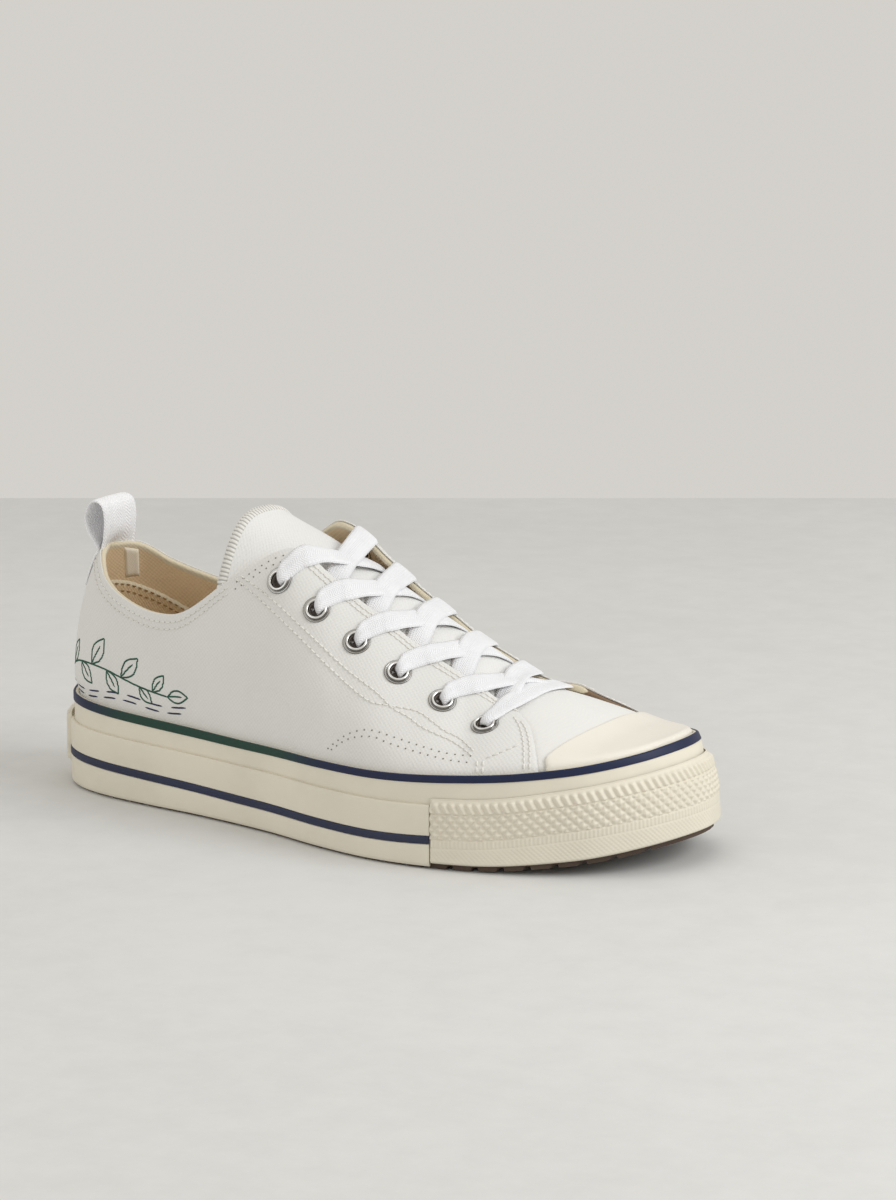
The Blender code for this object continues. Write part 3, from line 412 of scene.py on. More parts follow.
def column_skin(station, side, phi):
    """Point of the upper's outer skin on the column that starts at an outline station."""
    x, point, normal = station
    foot = point - normal * (BASE + lean(x, stripe_top(x)))
    head = head_of_column(x)
    power = roundness(x)
    rho = max(math.cos(phi), 0.0) ** (2 / power)
    plan = head + (foot - head) * rho
    plan[0] -= column_bend(x, rho)
    low = start_height(x)
    top = ridge_heel_z(plan[0]) + ridge_instep_z(plan[0])
    z = low + (top - low) * min(math.sin(phi), 1.0) ** (2 / power)
    plan = plan + swell_of(x, side, z - low) * rho * (foot - head) / np.linalg.norm(foot - head)
    return np.array([plan[0], plan[1], z])


def skin(x, side, phi):
    """Point of the skin on the column that starts at x."""
    return column_skin((x, *edge_point(x, side)), side, phi)


def soft_max(a, b, k):
    h = max(k - abs(a - b), 0.0) / k
    return max(a, b) + h * h * k / 4


# Steps along the shoe, with their weights, over which the collar's edge is eased
COLLAR_EASE = ((-7.0, 1), (-3.5, 2), (0.0, 3), (3.5, 2), (7.0, 1))
THROAT_SOFT = 6.0


def collar_line(x):
    """Height of the collar's edge, eased over a few millimetres as sewn cloth is."""
    reach = smooth((x / LENGTH + 0.40) / 0.08)
    spots = [(x + step * reach, weight) for step, weight in COLLAR_EASE]
    total = sum(weight * (collar_heel_z(at) + collar_instep_z(at)) for at, weight in spots)
    return total / sum(weight for _, weight in COLLAR_EASE)


def quarter_cut(p):
    """Positive where the collar and the throat are open, for the two quarters."""
    x, y, z = p
    x_on_line = x
    if y > ridge_y(x):
        back = (x / LENGTH - COLLAR_BACK_FROM) / COLLAR_BACK_OVER
        x_on_line += COLLAR_BACK * min(max(back, 0.0), 1.0)
    collar = z - collar_line(x_on_line)
    throat = min(THROAT_HALF - abs(y - ridge_y(x)), x - THROAT_REAR)
    return soft_max(collar, throat, THROAT_SOFT)


def vamp_cut(p):
    """Positive behind the straight rear edge of the vamp."""
    return THROAT_END - p[0]


def cap_cut(p):
    """Positive behind the rear edge of the toe cap, which bows forward in the middle."""
    off = (p[1] - ridge_y(p[0])) / (BALL * 0.4)
    return CAP_FRONT_X + CAP_BOW * max(1 - off * off, 0.0) - p[0]


def skin_at(x, y):
    """Height of the skin over a point of the plan, for the sloping part beside the throat."""
    side = -1 if y < ridge_y(x) else 1
    level = x + 12.0
    phi = 0.9
    step = 1e-4
    for _ in range(12):
        here = skin(level, side, phi)
        miss = np.array([x - here[0], y - here[1]])
        if abs(miss).max() < 1e-4:
            break
        by_level = (skin(level + step, side, phi) - here)[:2] / step
        by_phi = (skin(level, side, phi + step) - here)[:2] / step
        change = np.linalg.solve(np.stack([by_level, by_phi], axis=1), miss)
        level += min(max(change[0], -12.0), 12.0)
        phi = min(max(phi + min(max(change[1], -0.3), 0.3), 0.05), math.pi / 2 - 0.01)
    return here[2]


def skin_normal(x, y):
    e = 0.8
    dx = (skin_at(x + e, y) - skin_at(x - e, y)) / (2 * e)
    dy = (skin_at(x, y + e) - skin_at(x, y - e)) / (2 * e)
    return unit(np.array([-dx, -dy, 1.0]))


def tongue_z(x, y):
    """Upper face of the tongue."""
    return tongue_top(x) - tongue_drop(x) * (abs(y - ridge_y(x)) / THROAT_HALF) ** 3


def heel_x(z):
    """Skin at the back of the heel at a height."""
    low = 0.0
    high = math.pi / 2
    for _ in range(30):
        phi = (low + high) / 2
        point = skin(-LENGTH / 2, -1, phi)
        if point[2] < z:
            low = phi
        else:
            high = phi
    return point[0]


SHIFT = np.array([
    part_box("sole_body")[0].x / MILLI + LENGTH / 2 - WALL_OUT,
    (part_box("pull_loop")[0].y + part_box("pull_loop")[1].y) / 2 / MILLI,
    0.0,
])


# Materials

class Nodes:
    """Short way to build a procedural material around one Principled shader."""

    def __init__(self, name, colour, roughness, metallic=0.0, sheen=0.0):
        self.mat = bpy.data.materials.new(name)
        self.mat.use_nodes = True
        self.tree = self.mat.node_tree
        self.shader = self.tree.nodes["Principled BSDF"]
        self.shader.inputs["Base Color"].default_value = (*colour, 1.0)
        self.shader.inputs["Roughness"].default_value = roughness
        self.shader.inputs["Metallic"].default_value = metallic
        self.shader.inputs["Sheen Weight"].default_value = sheen
        self.shader.inputs["Sheen Roughness"].default_value = 0.6

    def node(self, kind, **values):
        made = self.tree.nodes.new(kind)
        for key, value in values.items():
            setattr(made, key, value)
        return made

    def link(self, source, target):
        self.tree.links.new(source, target)

    def place(self):
        """Position on the shoe, in metres."""
        return self.node("ShaderNodeTexCoord").outputs["Object"]

    def cloth(self):
        """Position along and across the cloth, in millimetres, kept with the mesh."""
        return self.node("ShaderNodeAttribute", attribute_name="cloth").outputs["Vector"]

    def parts(self, vector):
        split = self.node("ShaderNodeSeparateXYZ")
        self.link(vector, split.inputs[0])
        return split.outputs

    def math(self, operation, a, b=None, c=None):
        made = self.node("ShaderNodeMath", operation=operation)
        for socket, value in zip(made.inputs, (a, b, c)):
            if value is None:
                continue
            if isinstance(value, (int, float)):
                socket.default_value = value
            else:
                self.link(value, socket)
        return made.outputs[0]

    def noise(self, scale, detail=3.0, rough=0.5, vector=None):
        made = self.node("ShaderNodeTexNoise")
        made.inputs["Scale"].default_value = scale
        made.inputs["Detail"].default_value = detail
        made.inputs["Roughness"].default_value = rough
        self.link(vector or self.place(), made.inputs["Vector"])
        return made.outputs["Fac"]

    def fade(self, value, low, high, start=0.0, end=1.0):
        made = self.node("ShaderNodeMapRange")
        made.interpolation_type = "SMOOTHSTEP"
        self.link(value, made.inputs["Value"])
        for key, number in (("From Min", low), ("From Max", high), ("To Min", start), ("To Max", end)):
            made.inputs[key].default_value = number
        return made.outputs["Result"]

    def mix(self, factor, a, b):
        made = self.node("ShaderNodeMix", data_type="RGBA")
        self.link(factor, made.inputs["Factor"])
        for socket, value in ((made.inputs[6], a), (made.inputs[7], b)):
            if isinstance(value, tuple):
                socket.default_value = (*value, 1.0)
            else:
                self.link(value, socket)
        return made.outputs[2]

    def paint(self, colour):
        self.link(colour, self.shader.inputs["Base Color"])

    def shade(self, value, low, high, colour, at_low, at_high):
        """Paint a colour, times one factor where a value is low and times another where it is high."""
        self.paint(self.mix(self.fade(value, low, high), tint(colour, at_low), tint(colour, at_high)))

    def blend(self, a, part_a, b, part_b):
        return self.math("ADD", self.math("MULTIPLY", a, part_a), self.math("MULTIPLY", b, part_b))

    def vary_gloss(self, value, low, high):
        """Roughness that follows a noise."""
        self.link(self.fade(value, 0.3, 0.7, low, high), self.shader.inputs["Roughness"])

    def bump(self, height, depth_mm, strength=1.0, under=None):
        made = self.node("ShaderNodeBump")
        made.inputs["Strength"].default_value = strength
        made.inputs["Distance"].default_value = depth_mm * MILLI
        self.link(height, made.inputs["Height"])
        if under is not None:
            self.link(under, made.inputs["Normal"])
        self.link(made.outputs["Normal"], self.shader.inputs["Normal"])
        return made.outputs["Normal"]

    def weave(self, pitch):
        """Plain weave of a thread pitch in millimetres, 0 to 1."""
        u, v, _ = self.parts(self.cloth())
        wobble = self.math("MULTIPLY_ADD", self.noise(260.0, 2.0), 0.9, -0.45)
        return self.checks(self.math("ADD", u, wobble), self.math("SUBTRACT", v, wobble), math.pi / pitch)

    def checks(self, u, v, turn):
        """Product of two waves, 0 to 1, as threads that pass over and under each other."""
        a = self.math("SINE", self.math("MULTIPLY", u, turn))
        b = self.math("SINE", self.math("MULTIPLY", v, turn))
        return self.math("MULTIPLY_ADD", self.math("MULTIPLY", a, b), 0.5, 0.5)


def tint(colour, factor):
    return tuple(min(c * factor, 1.0) for c in colour)


def canvas_material(name, colour, pitch, depth, mottle=0.04):
    made = Nodes(name, colour, 0.92, sheen=0.25)
    weave = made.weave(pitch)
    slubs = made.noise(1300.0, 2.0)
    cloud = made.noise(38.0, 4.0)
    made.shade(made.blend(cloud, 0.6, weave, 0.4), 0.25, 0.75, colour, 1 - mottle, 1 + mottle * 0.6)
    height = made.math("ADD", weave, made.math("MULTIPLY", slubs, 2.4))
    fine = made.bump(height, depth, 0.55)
    made.bump(made.noise(60.0, 2.0), 0.5, 0.25, under=fine)
    return made.mat


def rubber_material(name, colour, roughness, mottle=0.05):
    made = Nodes(name, colour, roughness)
    made.shade(made.noise(24.0, 5.0, 0.6), 0.35, 0.70, colour, 1 + mottle * 0.5, 1 - mottle)
    grain = made.bump(made.noise(1500.0, 2.0), 0.05, 0.35)
    made.bump(made.noise(45.0, 3.0), 0.35, 0.18, under=grain)
    made.vary_gloss(made.noise(70.0, 3.0), roughness - 0.06, roughness + 0.08)
    return made.mat


def stripe_material():
    """Navy along the heel and the toe, green along the outer waist and the inner side."""
    navy = (0.011, 0.017, 0.056)
    slate = (0.014, 0.030, 0.060)
    green = (0.014, 0.052, 0.036)
    made = Nodes("stripe_rubber", navy, 0.5)
    made.shader.inputs["Specular IOR Level"].default_value = 0.3
    x, y, _ = made.parts(made.place())
    rear = made.fade(x, -0.118, -0.085)
    front = made.fade(x, -0.020, 0.012)
    waist = made.math("MULTIPLY", rear, made.math("SUBTRACT", 1.0, front))
    outer = made.mix(waist, navy, green)
    inner = made.mix(made.fade(x, -0.10, -0.06), slate, green)
    inside = made.fade(y, 0.022, 0.040)
    made.paint(made.mix(inside, outer, inner))
    made.bump(made.noise(120.0, 3.0), 0.2, 0.3)
    return made.mat


def tape_material(name, colour, pitch, slant):
    """Herringbone tape: ribs that turn about the middle of the width."""
    made = Nodes(name, colour, 0.85, sheen=0.3)
    u, v, _ = made.parts(made.cloth())
    away = made.math("PINGPONG", v, slant)
    ribs = made.math("SINE", made.math("MULTIPLY", made.math("ADD", u, away), 2 * math.pi / pitch))
    edge = made.math("SINE", made.math("MULTIPLY", v, 2 * math.pi / (pitch * 0.9)))
    patchy = made.math("ADD", made.math("MULTIPLY", ribs, 0.25), made.noise(140.0, 3.0))
    made.shade(patchy, 0.2, 0.8, colour, 0.93, 1.03)
    made.bump(made.blend(ribs, 0.5, edge, 0.25), 0.16, 0.8)
    return made.mat


def ribbed_material(name, colour, pitch):
    """Thread laid side by side, with painted shade in the gaps between threads; the first cloth value runs
    across the threads.
    """
    made = Nodes(name, colour, 0.88, sheen=0.2)
    across = made.parts(made.cloth())[0]
    wave_of = made.math("COSINE", made.math("MULTIPLY", across, 2 * math.pi / pitch))
    # painted shade: the gaps between the threads are coloured deeper
    made.shade(made.math("MULTIPLY_ADD", wave_of, -0.5, 0.5), 0.1, 0.6, colour, 0.62, 1.0)
    made.bump(made.noise(900.0, 2.0), 0.08, 0.5)
    return made.mat


def lining_material():
    """Tan drill, cream along the folded edge, and painted shade that turns it deep brown towards the toe;
    the third cloth value is the way from the edge."""
    tan = (0.80, 0.615, 0.385)
    cream = (0.74, 0.655, 0.485)
    painted_toe_shade = (0.20, 0.125, 0.07)
    made = Nodes("lining_cloth", tan, 0.92, sheen=0.2)
    from_edge = made.parts(made.cloth())[2]
    weave = made.weave(0.9)
    cloud = made.math("MULTIPLY_ADD", weave, 0.35, made.noise(50.0, 4.0))
    body = made.mix(made.fade(cloud, 0.35, 1.0), tint(tan, 0.90), tint(tan, 1.10))
    # painted shade: deep brown towards the toe, where the front of the lining lies in shadow
    body = made.mix(made.fade(made.parts(made.place())[0], 0.030, 0.055), body, painted_toe_shade)
    made.paint(made.mix(made.fade(from_edge, 1.8, 2.6), cream, body))
    made.bump(weave, 0.14, 0.7)
    return made.mat


# Eyelet colours from the flange inward, all painted light: painted shade at the flange's rim, a dimmer
# flange, painted shade in the groove and in the hole, and a painted highlight on the rolled ring; radii in
# millimetres over which one passes into the next
NICKEL_PAINTED_LIGHT = (
    # from, to, colour inside them
    (4.75, 4.95, (0.52, 0.51, 0.49)),
    (4.05, 4.30, (0.16, 0.15, 0.14)),
    (3.70, 4.02, (0.86, 0.85, 0.83)),
    (2.95, 3.30, (0.22, 0.20, 0.18)),
)


def metal_material():
    """Nickel coloured by radius with painted shade and a painted highlight; the first cloth value is the
    radius in millimetres.
    """
    made = Nodes("nickel", (0.70, 0.69, 0.67), 0.22, metallic=1.0)
    radius = made.parts(made.cloth())[0]
    # painted shade: the colour beyond the flange's outer rim
    paint = (0.20, 0.19, 0.18)
    for low, high, colour in NICKEL_PAINTED_LIGHT:
        paint = made.mix(made.fade(radius, low, high), colour, paint)
    made.paint(paint)
    made.vary_gloss(made.noise(300.0, 3.0), 0.16, 0.34)
    made.bump(made.noise(800.0, 2.0), 0.02, 0.4)
    return made.mat


def insole_material():
    colour = (0.70, 0.54, 0.34)
    made = Nodes("insole_cloth", colour, 0.93, sheen=0.2)
    x, y, _ = made.parts(made.place())
    weave = made.checks(x, y, math.pi / (0.9 * MILLI))
    made.shade(made.math("MULTIPLY_ADD", weave, 0.3, made.noise(40.0, 4.0)), 0.3, 1.0, colour, 0.88, 1.1)
    made.bump(weave, 0.15, 0.7)
    return made.mat


def floor_material():
    colour = (0.700, 0.697, 0.682)
    made = Nodes("floor", colour, 0.85)
    speck = made.noise(60.0, 5.0, 0.7)
    made.shade(made.blend(made.noise(3.2, 6.0, 0.62), 0.6, speck, 0.4), 0.35, 0.65, colour, 0.955, 1.03)
    made.bump(speck, 0.4, 0.3)
    return made.mat


MATS = {
    "quarter": canvas_material("quarter_canvas", (0.762, 0.752, 0.724), 0.80, 0.10),
    "vamp": canvas_material("vamp_canvas", (0.80, 0.79, 0.76), 0.60, 0.05, 0.02),
    "tongue": canvas_material("tongue_canvas", (0.805, 0.80, 0.782), 0.80, 0.12),
    "thread": rubber_material("sewing_thread", (0.80, 0.785, 0.745), 0.85),
    # painted shade: the colours of the needle holes and of the dips between stitches
    "hole": rubber_material("needle_hole_shade", (0.22, 0.20, 0.17), 0.95),
    "pit": rubber_material("stitch_pit_shade", (0.50, 0.48, 0.44), 0.95),
    "tan_thread": rubber_material("tan_thread", (0.33, 0.21, 0.09), 0.9),
    # painted shade: the colour of the cups that fill the eyelet holes
    "throat": rubber_material("eyelet_shade_cup", (0.17, 0.145, 0.125), 0.7),
    "foxing": rubber_material("foxing_rubber", (0.772, 0.720, 0.602), 0.52),
    "cap": rubber_material("toe_rubber", (0.835, 0.795, 0.705), 0.44, 0.025),
    "outsole": rubber_material("outsole_rubber", (0.085, 0.055, 0.038), 0.75, 0.2),
    "stripe": stripe_material(),
    "stripe_navy": rubber_material("stripe_navy", (0.011, 0.017, 0.056), 0.5, 0.15),
    "lace": tape_material("lace_cotton", (0.885, 0.885, 0.91), 1.0, 2.1),
    "facing": canvas_material("facing_cotton", (0.88, 0.80, 0.65), 0.60, 0.08),
    "lace_edge": ribbed_material("overlock_thread", (0.80, 0.785, 0.74), 1.7),
    "loop": tape_material("loop_cotton", (0.93, 0.93, 0.95), 1.3, 2.6),
    "lining": lining_material(),
    "nickel": metal_material(),
    "insole": insole_material(),
    "ink_green": rubber_material("ink_green", (0.020, 0.090, 0.055), 0.85),
    "ink_navy": rubber_material("ink_navy", (0.022, 0.026, 0.070), 0.85),
}


# Mesh helpers

def add_piece(name, verts, faces, mat, nodes=(), cloth=None, sharp=None):
    """One piece of the shoe from points in millimetres; cloth holds its place along the weave."""
    mesh = bpy.data.meshes.new(name)
    mesh.from_pydata(((np.asarray(verts, float) + SHIFT) * MILLI).tolist(), [], faces)
    if cloth is not None:
        stored = mesh.attributes.new("cloth", "FLOAT_VECTOR", "POINT")
        stored.data.foreach_set("vector", np.asarray(cloth, np.float32).ravel())
    work = bmesh.new()
    work.from_mesh(mesh)
    bmesh.ops.remove_doubles(work, verts=work.verts, dist=1e-6)
    bmesh.ops.dissolve_degenerate(work, edges=work.edges, dist=1e-7)
    bmesh.ops.recalc_face_normals(work, faces=work.faces)
    work.to_mesh(mesh)
    work.free()
    mesh.shade_smooth()
    if sharp is not None:
        mesh.set_sharp_from_angle(angle=math.radians(sharp))
    mesh.materials.append(mat)
    made = bpy.data.objects.new(name, mesh)
    bpy.context.scene.collection.objects.link(made)
    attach(made, "root")
    if nodes:
        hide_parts(*nodes)
    return made


def grid_faces(rows, columns, wrap_rows=False, wrap_columns=False, base=0):
    """Four-sided faces of a grid of points that are counted row by row from base."""
    faces = []
    for i in range(rows if wrap_rows else rows - 1):
        here = base + i * columns
        there = base + (i + 1) % rows * columns
        for k in range(columns if wrap_columns else columns - 1):
            m = (k + 1) % columns
            faces.append((here + k, there + k, there + m, here + m))
    return faces


def end_caps(rows, columns, base=0):
    """Faces that close both ends of a tube whose rows are rings."""
    last = base + (rows - 1) * columns
    return [tuple(range(base, base + columns)), tuple(range(last + columns - 1, last - 1, -1))]


def cross_normals(grid):
    """Unit normals of a grid of points."""
    normal = np.cross(np.gradient(grid, axis=0), np.gradient(grid, axis=1))
    return normal / np.maximum(np.linalg.norm(normal, axis=2, keepdims=True), 1e-9)


def grid_normals(grid):
    """Unit normals of a grid of points, facing away from the middle of the shoe."""
    normal = cross_normals(grid)
    away = grid - np.array([0.0, 0.0, 40.0])
    return -normal if (normal * away).sum() < 0 else normal


def along_column(points, gaps):
    """Points of a dense column at given ways back from its end."""
    points = np.array(points)
    length = arcs_of(points)
    return at_arc([max(length[-1] - gap, 0.0) for gap in gaps], length, points)


def close_sheet(name, front, back, rows, columns, mat, slot, nodes=(), cloth=None, sharp=None):
    """Closed body from two grids of points that face each other."""
    size = rows * columns
    faces = grid_faces(rows, columns)
    faces += [tuple(size + v for v in reversed(face)) for face in grid_faces(rows, columns)]
    rim = list(range(columns)) + [i * columns + columns - 1 for i in range(1, rows)]
    rim += [(rows - 1) * columns + k for k in range(columns - 2, -1, -1)]
    rim += [i * columns for i in range(rows - 2, 0, -1)]
    for a, b in zip(rim, rim[1:] + rim[:1]):
        faces.append((a, b, size + b, size + a))
    return add_piece(name, list(front) + list(back), faces, mat, nodes, cloth, sharp)


def thick_sheet(name, grid, over, under, cloth, mat, slot, nodes):
    """Closed body whose faces stand off a grid of points by two grids of steps."""
    front, back, flat = (values.reshape(-1, 3) for values in (grid + over, grid + under, cloth))
    close_sheet(name, front, back, *grid.shape[:2], mat, slot, nodes, np.concatenate([flat, flat]))


# Rubber

STATION_GAP = 1.1


def stations(gap, start=None):
    """Outline stations (x, point, normal) a gap apart: all round, or forward of start, or behind it."""
    step = max(int(round(gap / (OUTLINE_LENGTH / len(OUTLINE)))), 1)
    rows = [(OUTLINE[i][0], OUTLINE[i], NORMALS[i]) for i in range(0, len(OUTLINE), step)]
    if start is None:
        return rows
    x, front = start
    ends = {side: (x, *edge_point(x, side)) for side in (-1, 1)}
    outer = [r for i, r in enumerate(rows) if i * step <= TOE_INDEX]
    inner = [r for i, r in enumerate(rows) if i * step > TOE_INDEX]
    if front:
        return ([ends[-1]] + [r for r in outer if r[0] > x + gap / 4]
                + [r for r in inner if r[0] > x + gap / 4] + [ends[1]])
    return ([ends[1]] + [r for r in inner if r[0] < x - gap / 4]
            + [r for r in outer if r[0] < x - gap / 4] + [ends[-1]])


def place(station, inset, z):
    x, point, normal = station
    inside = point - normal * (inset + lean(x, z))
    return (inside[0], inside[1], z)


def rounded(corners, radius):
    """Profile with each corner turned into a short arc."""
    corners = np.array(corners, float)
    n = len(corners)
    out = []
    for i in range(n):
        a = corners[i - 1] - corners[i]
        b = corners[(i + 1) % n] - corners[i]
        la = np.linalg.norm(a)
        lb = np.linalg.norm(b)
        r = min(radius, la * 0.45, lb * 0.45)
        start = corners[i] + a / la * r
        end = corners[i] + b / lb * r
        for t in (0.0, 0.33, 0.67, 1.0):
            out.append(start * (1 - t) ** 2 + corners[i] * 2 * t * (1 - t) + end * t * t)
    return out


def band(name, rows, profile_of, mat, nodes, loop):
    """Closed rubber band swept along the outline."""
    verts = []
    for row in rows:
        verts += [place(row, inset, z) for inset, z in profile_of(row[0])]
    size = len(verts) // len(rows)
    faces = grid_faces(len(rows), size, wrap_rows=loop, wrap_columns=True)
    if not loop:
        faces += end_caps(len(rows), size)
    return add_piece(name, verts, faces, mat, nodes, sharp=50)


def band_low(x):
    """Low edge of the rubber; at the toe it stands higher, so the brown outsole shows."""
    return underside(x) + RUBBER_LOW + 1.3 * smooth((share(x) - 0.22) / 0.14)


def make_rubber():
    """Wall, foxing tape and the two coloured lines; each profile is a ring of (way in, height)."""
    whole = stations(STATION_GAP)
    rear = stations(STATION_GAP, (BUMPER_X - CLEAR / 2, False))

    def wall(x):
        top = stripe_top(x)
        return rounded([(WALL_OUT, band_low(x)), (WALL_OUT, top - TOP_STRIPE_H - 0.2),
                        (WALL_OUT + 0.3, top - 0.1), (WALL_IN, top - 0.2),
                        (WALL_IN + 1.2, floor_height(x)), (WALL_IN + 1.2, band_low(x))], 0.5)

    def tape(x):
        groove = 0.4
        top = low_stripe_top(x)
        low = top - LOW_STRIPE_H
        foot = underside(x) + RUBBER_LOW
        return rounded([(0.5, foot), (0.0, foot + 1.2), (0.0, low - 0.15), (groove, low), (groove, top),
                        (0.0, top + 0.15), (0.0, step_top(x)), (WALL_OUT, step_top(x) + 0.25),
                        (WALL_OUT, foot)], 0.45)

    def top_stripe(x):
        top = stripe_top(x)
        high = TOP_STRIPE_H - 0.6 * smooth((share(x) - 0.2) / 0.4)
        return rounded([(STRIPE_OUT, top - high), (STRIPE_OUT, top - 0.1), (STRIPE_OUT + 0.5, top + 0.15),
                        (WALL_OUT + 0.5, top), (WALL_OUT + 0.5, top - high)], 0.55)

    def low_stripe(x):
        top = low_stripe_top(x)
        return rounded([(-LOW_STRIPE_PROUD, top - LOW_STRIPE_H + 0.1), (-LOW_STRIPE_PROUD, top - 0.1),
                        (0.5, top), (0.5, top - LOW_STRIPE_H)], 0.4)

    band("wall_band", whole, wall, MATS["foxing"], ("sole_body",), True)
    band("foxing_band", rear, tape, MATS["foxing"], ("foxing_tape",), False)
    band("piping_top", whole, top_stripe, MATS["stripe"], ("top_stripe",), True)
    band("piping_low", rear, low_stripe, MATS["stripe_navy"], ("lower_stripe",), False)


# Toe bumper: relief by distance down from its top edge, in belts of rim, ribs, studs, fine ribs and mesh
BUMPER_BASE = 0.28
RIM_H = 1.1
RIM_RISE = 0.12
RIB_H = 4.3
RIB_PITCH = 3.1
RIB_RISE = 0.95
STUD_H = 9.4
STUD_PITCH = 3.8
STUD_RISE = 1.15
FLAT_RISE = 0.2
FINE_H = 3.0
FINE_PITCH = 1.5
FINE_RISE = 0.35
MESH_PITCH = 1.7
MESH_RISE = 0.28
BUMPER_ROWS = 84


def wave(value):
    """Rounded ridge profile, 0 to 1, of period 1."""
    return 0.5 - 0.5 * math.cos(2 * math.pi * value)


def fade_in(t, soft):
    return smooth(t / soft)


def bumper_relief(arc, down, tall):
    """Height of the moulded pattern in millimetres."""
    if down < RIM_H:
        return RIM_RISE * math.sin(math.pi * down / RIM_H)
    down -= RIM_H
    if down < RIB_H:
        ends = fade_in(down, 0.5) * fade_in(RIB_H - down, 0.5)
        ridge = wave((arc - down * 0.55) / RIB_PITCH)
        return RIB_RISE * ends * ridge ** 0.8
    down -= RIB_H
    if down < STUD_H:
        row = down / (STUD_PITCH / 2)
        u = (arc / STUD_PITCH + 0.5 * row) % 1.0
        v = (arc / STUD_PITCH - 0.5 * row) % 1.0
        tip = min(u, 1 - u, v, 1 - v) * 2
        ends = fade_in(down, 0.6) * fade_in(STUD_H - down, 0.6)
        return STUD_RISE * ends * min(tip * 1.15, 0.85)
    down -= STUD_H
    if down < FINE_H:
        ends = fade_in(down, 0.35) * fade_in(FINE_H - down, 0.35)
        return FLAT_RISE + FINE_RISE * ends * wave(arc / FINE_PITCH)
    down -= FINE_H
    left = max(tall - RIM_H - RIB_H - STUD_H - FINE_H, 1.0)
    ends = fade_in(down, 0.5) * fade_in(left - down, 0.8)
    ridge = max(wave((arc + down) / MESH_PITCH), wave((arc - down) / MESH_PITCH))
    return FLAT_RISE + MESH_RISE * ends * ridge ** 0.7


def make_bumper():
    """Toe band: behind its face each row goes over the top edge and under the bottom edge."""
    rows = stations(0.3, (BUMPER_X + CLEAR / 2, True))
    arcs = arcs_of(np.array([row[1] for row in rows]))
    verts = []
    cloth = []
    for row, arc in zip(rows, arcs):
        low = band_low(row[0])
        high = bumper_top(row[0])
        tall = high - low
        ends = fade_in(arc, 0.5) * fade_in(arcs[-1] - arc, 0.5)
        for inset, lift in ((BUMPER_IN, -0.2), (1.30, -0.04), (1.15, 0.01)):
            verts.append(place(row, inset, high + lift))
            cloth.append((arc, 0.0, 0.0))
        for k in range(BUMPER_ROWS):
            down = tall * k / (BUMPER_ROWS - 1)
            edge = (0.45 * (1 - ends) + 0.6 * (1 - fade_in(tall - down, 0.8)) ** 2
                    + 0.80 * (1 - smooth(down / 2.2)))
            out = BUMPER_BASE - bumper_relief(arc, down, tall)
            verts.append(place(row, out + edge, high - down))
            cloth.append((arc, down, 0.0))
        verts.append(place(row, BUMPER_IN, low))
        cloth.append((arc, tall, 0.0))
    size = BUMPER_ROWS + 4
    faces = grid_faces(len(rows), size, wrap_columns=True) + end_caps(len(rows), size)
    add_piece("toe_band", verts, faces, MATS["foxing"], ("toe_bumper",), cloth, sharp=60)


PATCH_CORNER = 3.2
PATCH_BORDER = 1.3
PATCH_DIP = 0.35


def make_patch():
    """Bare label plate round the back of the heel, with a raised border."""
    across = 60
    up = 34
    front = []
    back = []
    lengths = np.arange(len(OUTLINE)) * (OUTLINE_LENGTH / len(OUTLINE))
    for i in range(across + 1):
        arc = (PATCH_W * (i / across - 0.5)) % OUTLINE_LENGTH
        k = int(np.argmin(abs(lengths - arc)))
        row = (OUTLINE[k][0], OUTLINE[k], NORMALS[k])
        side_way = min(i, across - i) / across * PATCH_W
        for j in range(up + 1):
            z = PATCH_LOW + (PATCH_HIGH - PATCH_LOW) * j / up
            high_way = min(j, up - j) / up * (PATCH_HIGH - PATCH_LOW)
            way = min(side_way, high_way)
            if side_way < PATCH_CORNER and high_way < PATCH_CORNER:
                way = PATCH_CORNER - math.hypot(PATCH_CORNER - side_way, PATCH_CORNER - high_way)
            lift = PATCH_T * smooth(max(way + 0.1, 0.0) / 0.5)
            lift -= PATCH_DIP * smooth((way - PATCH_BORDER) / 0.5)
            front.append(place(row, -CLEAR - LOW_STRIPE_PROUD - max(lift, 0.0), z))
            back.append(place(row, 0.3, z))
    close_sheet("heel_plate", front, back, across + 1, up + 1, MATS["foxing"], "foxing_rubber",
                ("heel_patch",), sharp=60)


# Upper

CREASES = (
    # x, side, z, half length, half width, depth, turn in degrees: soft troughs and ridges of the cloth
    (-88.0, -1, 50.0, 22.0, 7.0, -0.55, 80.0),
    (-70.0, -1, 45.0, 24.0, 8.0, 0.50, 70.0),
    (-30.0, -1, 55.0, 30.0, 9.0, -0.50, -22.0),
    (10.0, -1, 47.0, 26.0, 8.0, 0.45, -25.0),
    (48.0, -1, 38.0, 20.0, 6.0, -0.45, -35.0),
    (70.0, -1, 38.0, 14.0, 4.5, 0.35, 60.0),
    (-80.0, 1, 52.0, 24.0, 8.0, -0.50, 75.0),
    (-35.0, 1, 52.0, 30.0, 9.0, 0.50, -20.0),
    (20.0, 1, 46.0, 26.0, 8.0, -0.50, -25.0),
    (60.0, 1, 38.0, 20.0, 6.0, 0.40, -35.0),
)


def crease_of(x, side, z):
    total = 0.0
    for cx, cside, cz, long, wide, depth, turn in CREASES:
        if side != cside:
            continue
        c = math.cos(math.radians(turn))
        s = math.sin(math.radians(turn))
        along = ((x - cx) * c + (z - cz) * s) / long
        across = (-(x - cx) * s + (z - cz) * c) / wide
        total += depth * math.exp(-along * along - across * across)
    return total


def end_angle(station, side, rule):
    previous = 0.0
    for phi in np.linspace(0.0, math.pi / 2, 46)[1:]:
        if rule(column_skin(station, side, phi)) > 0:
            low = previous
            high = phi
            for _ in range(14):
                mid = (low + high) / 2
                if rule(column_skin(station, side, mid)) > 0:
                    high = mid
                else:
                    low = mid
            return low
        previous = phi
    return math.pi / 2


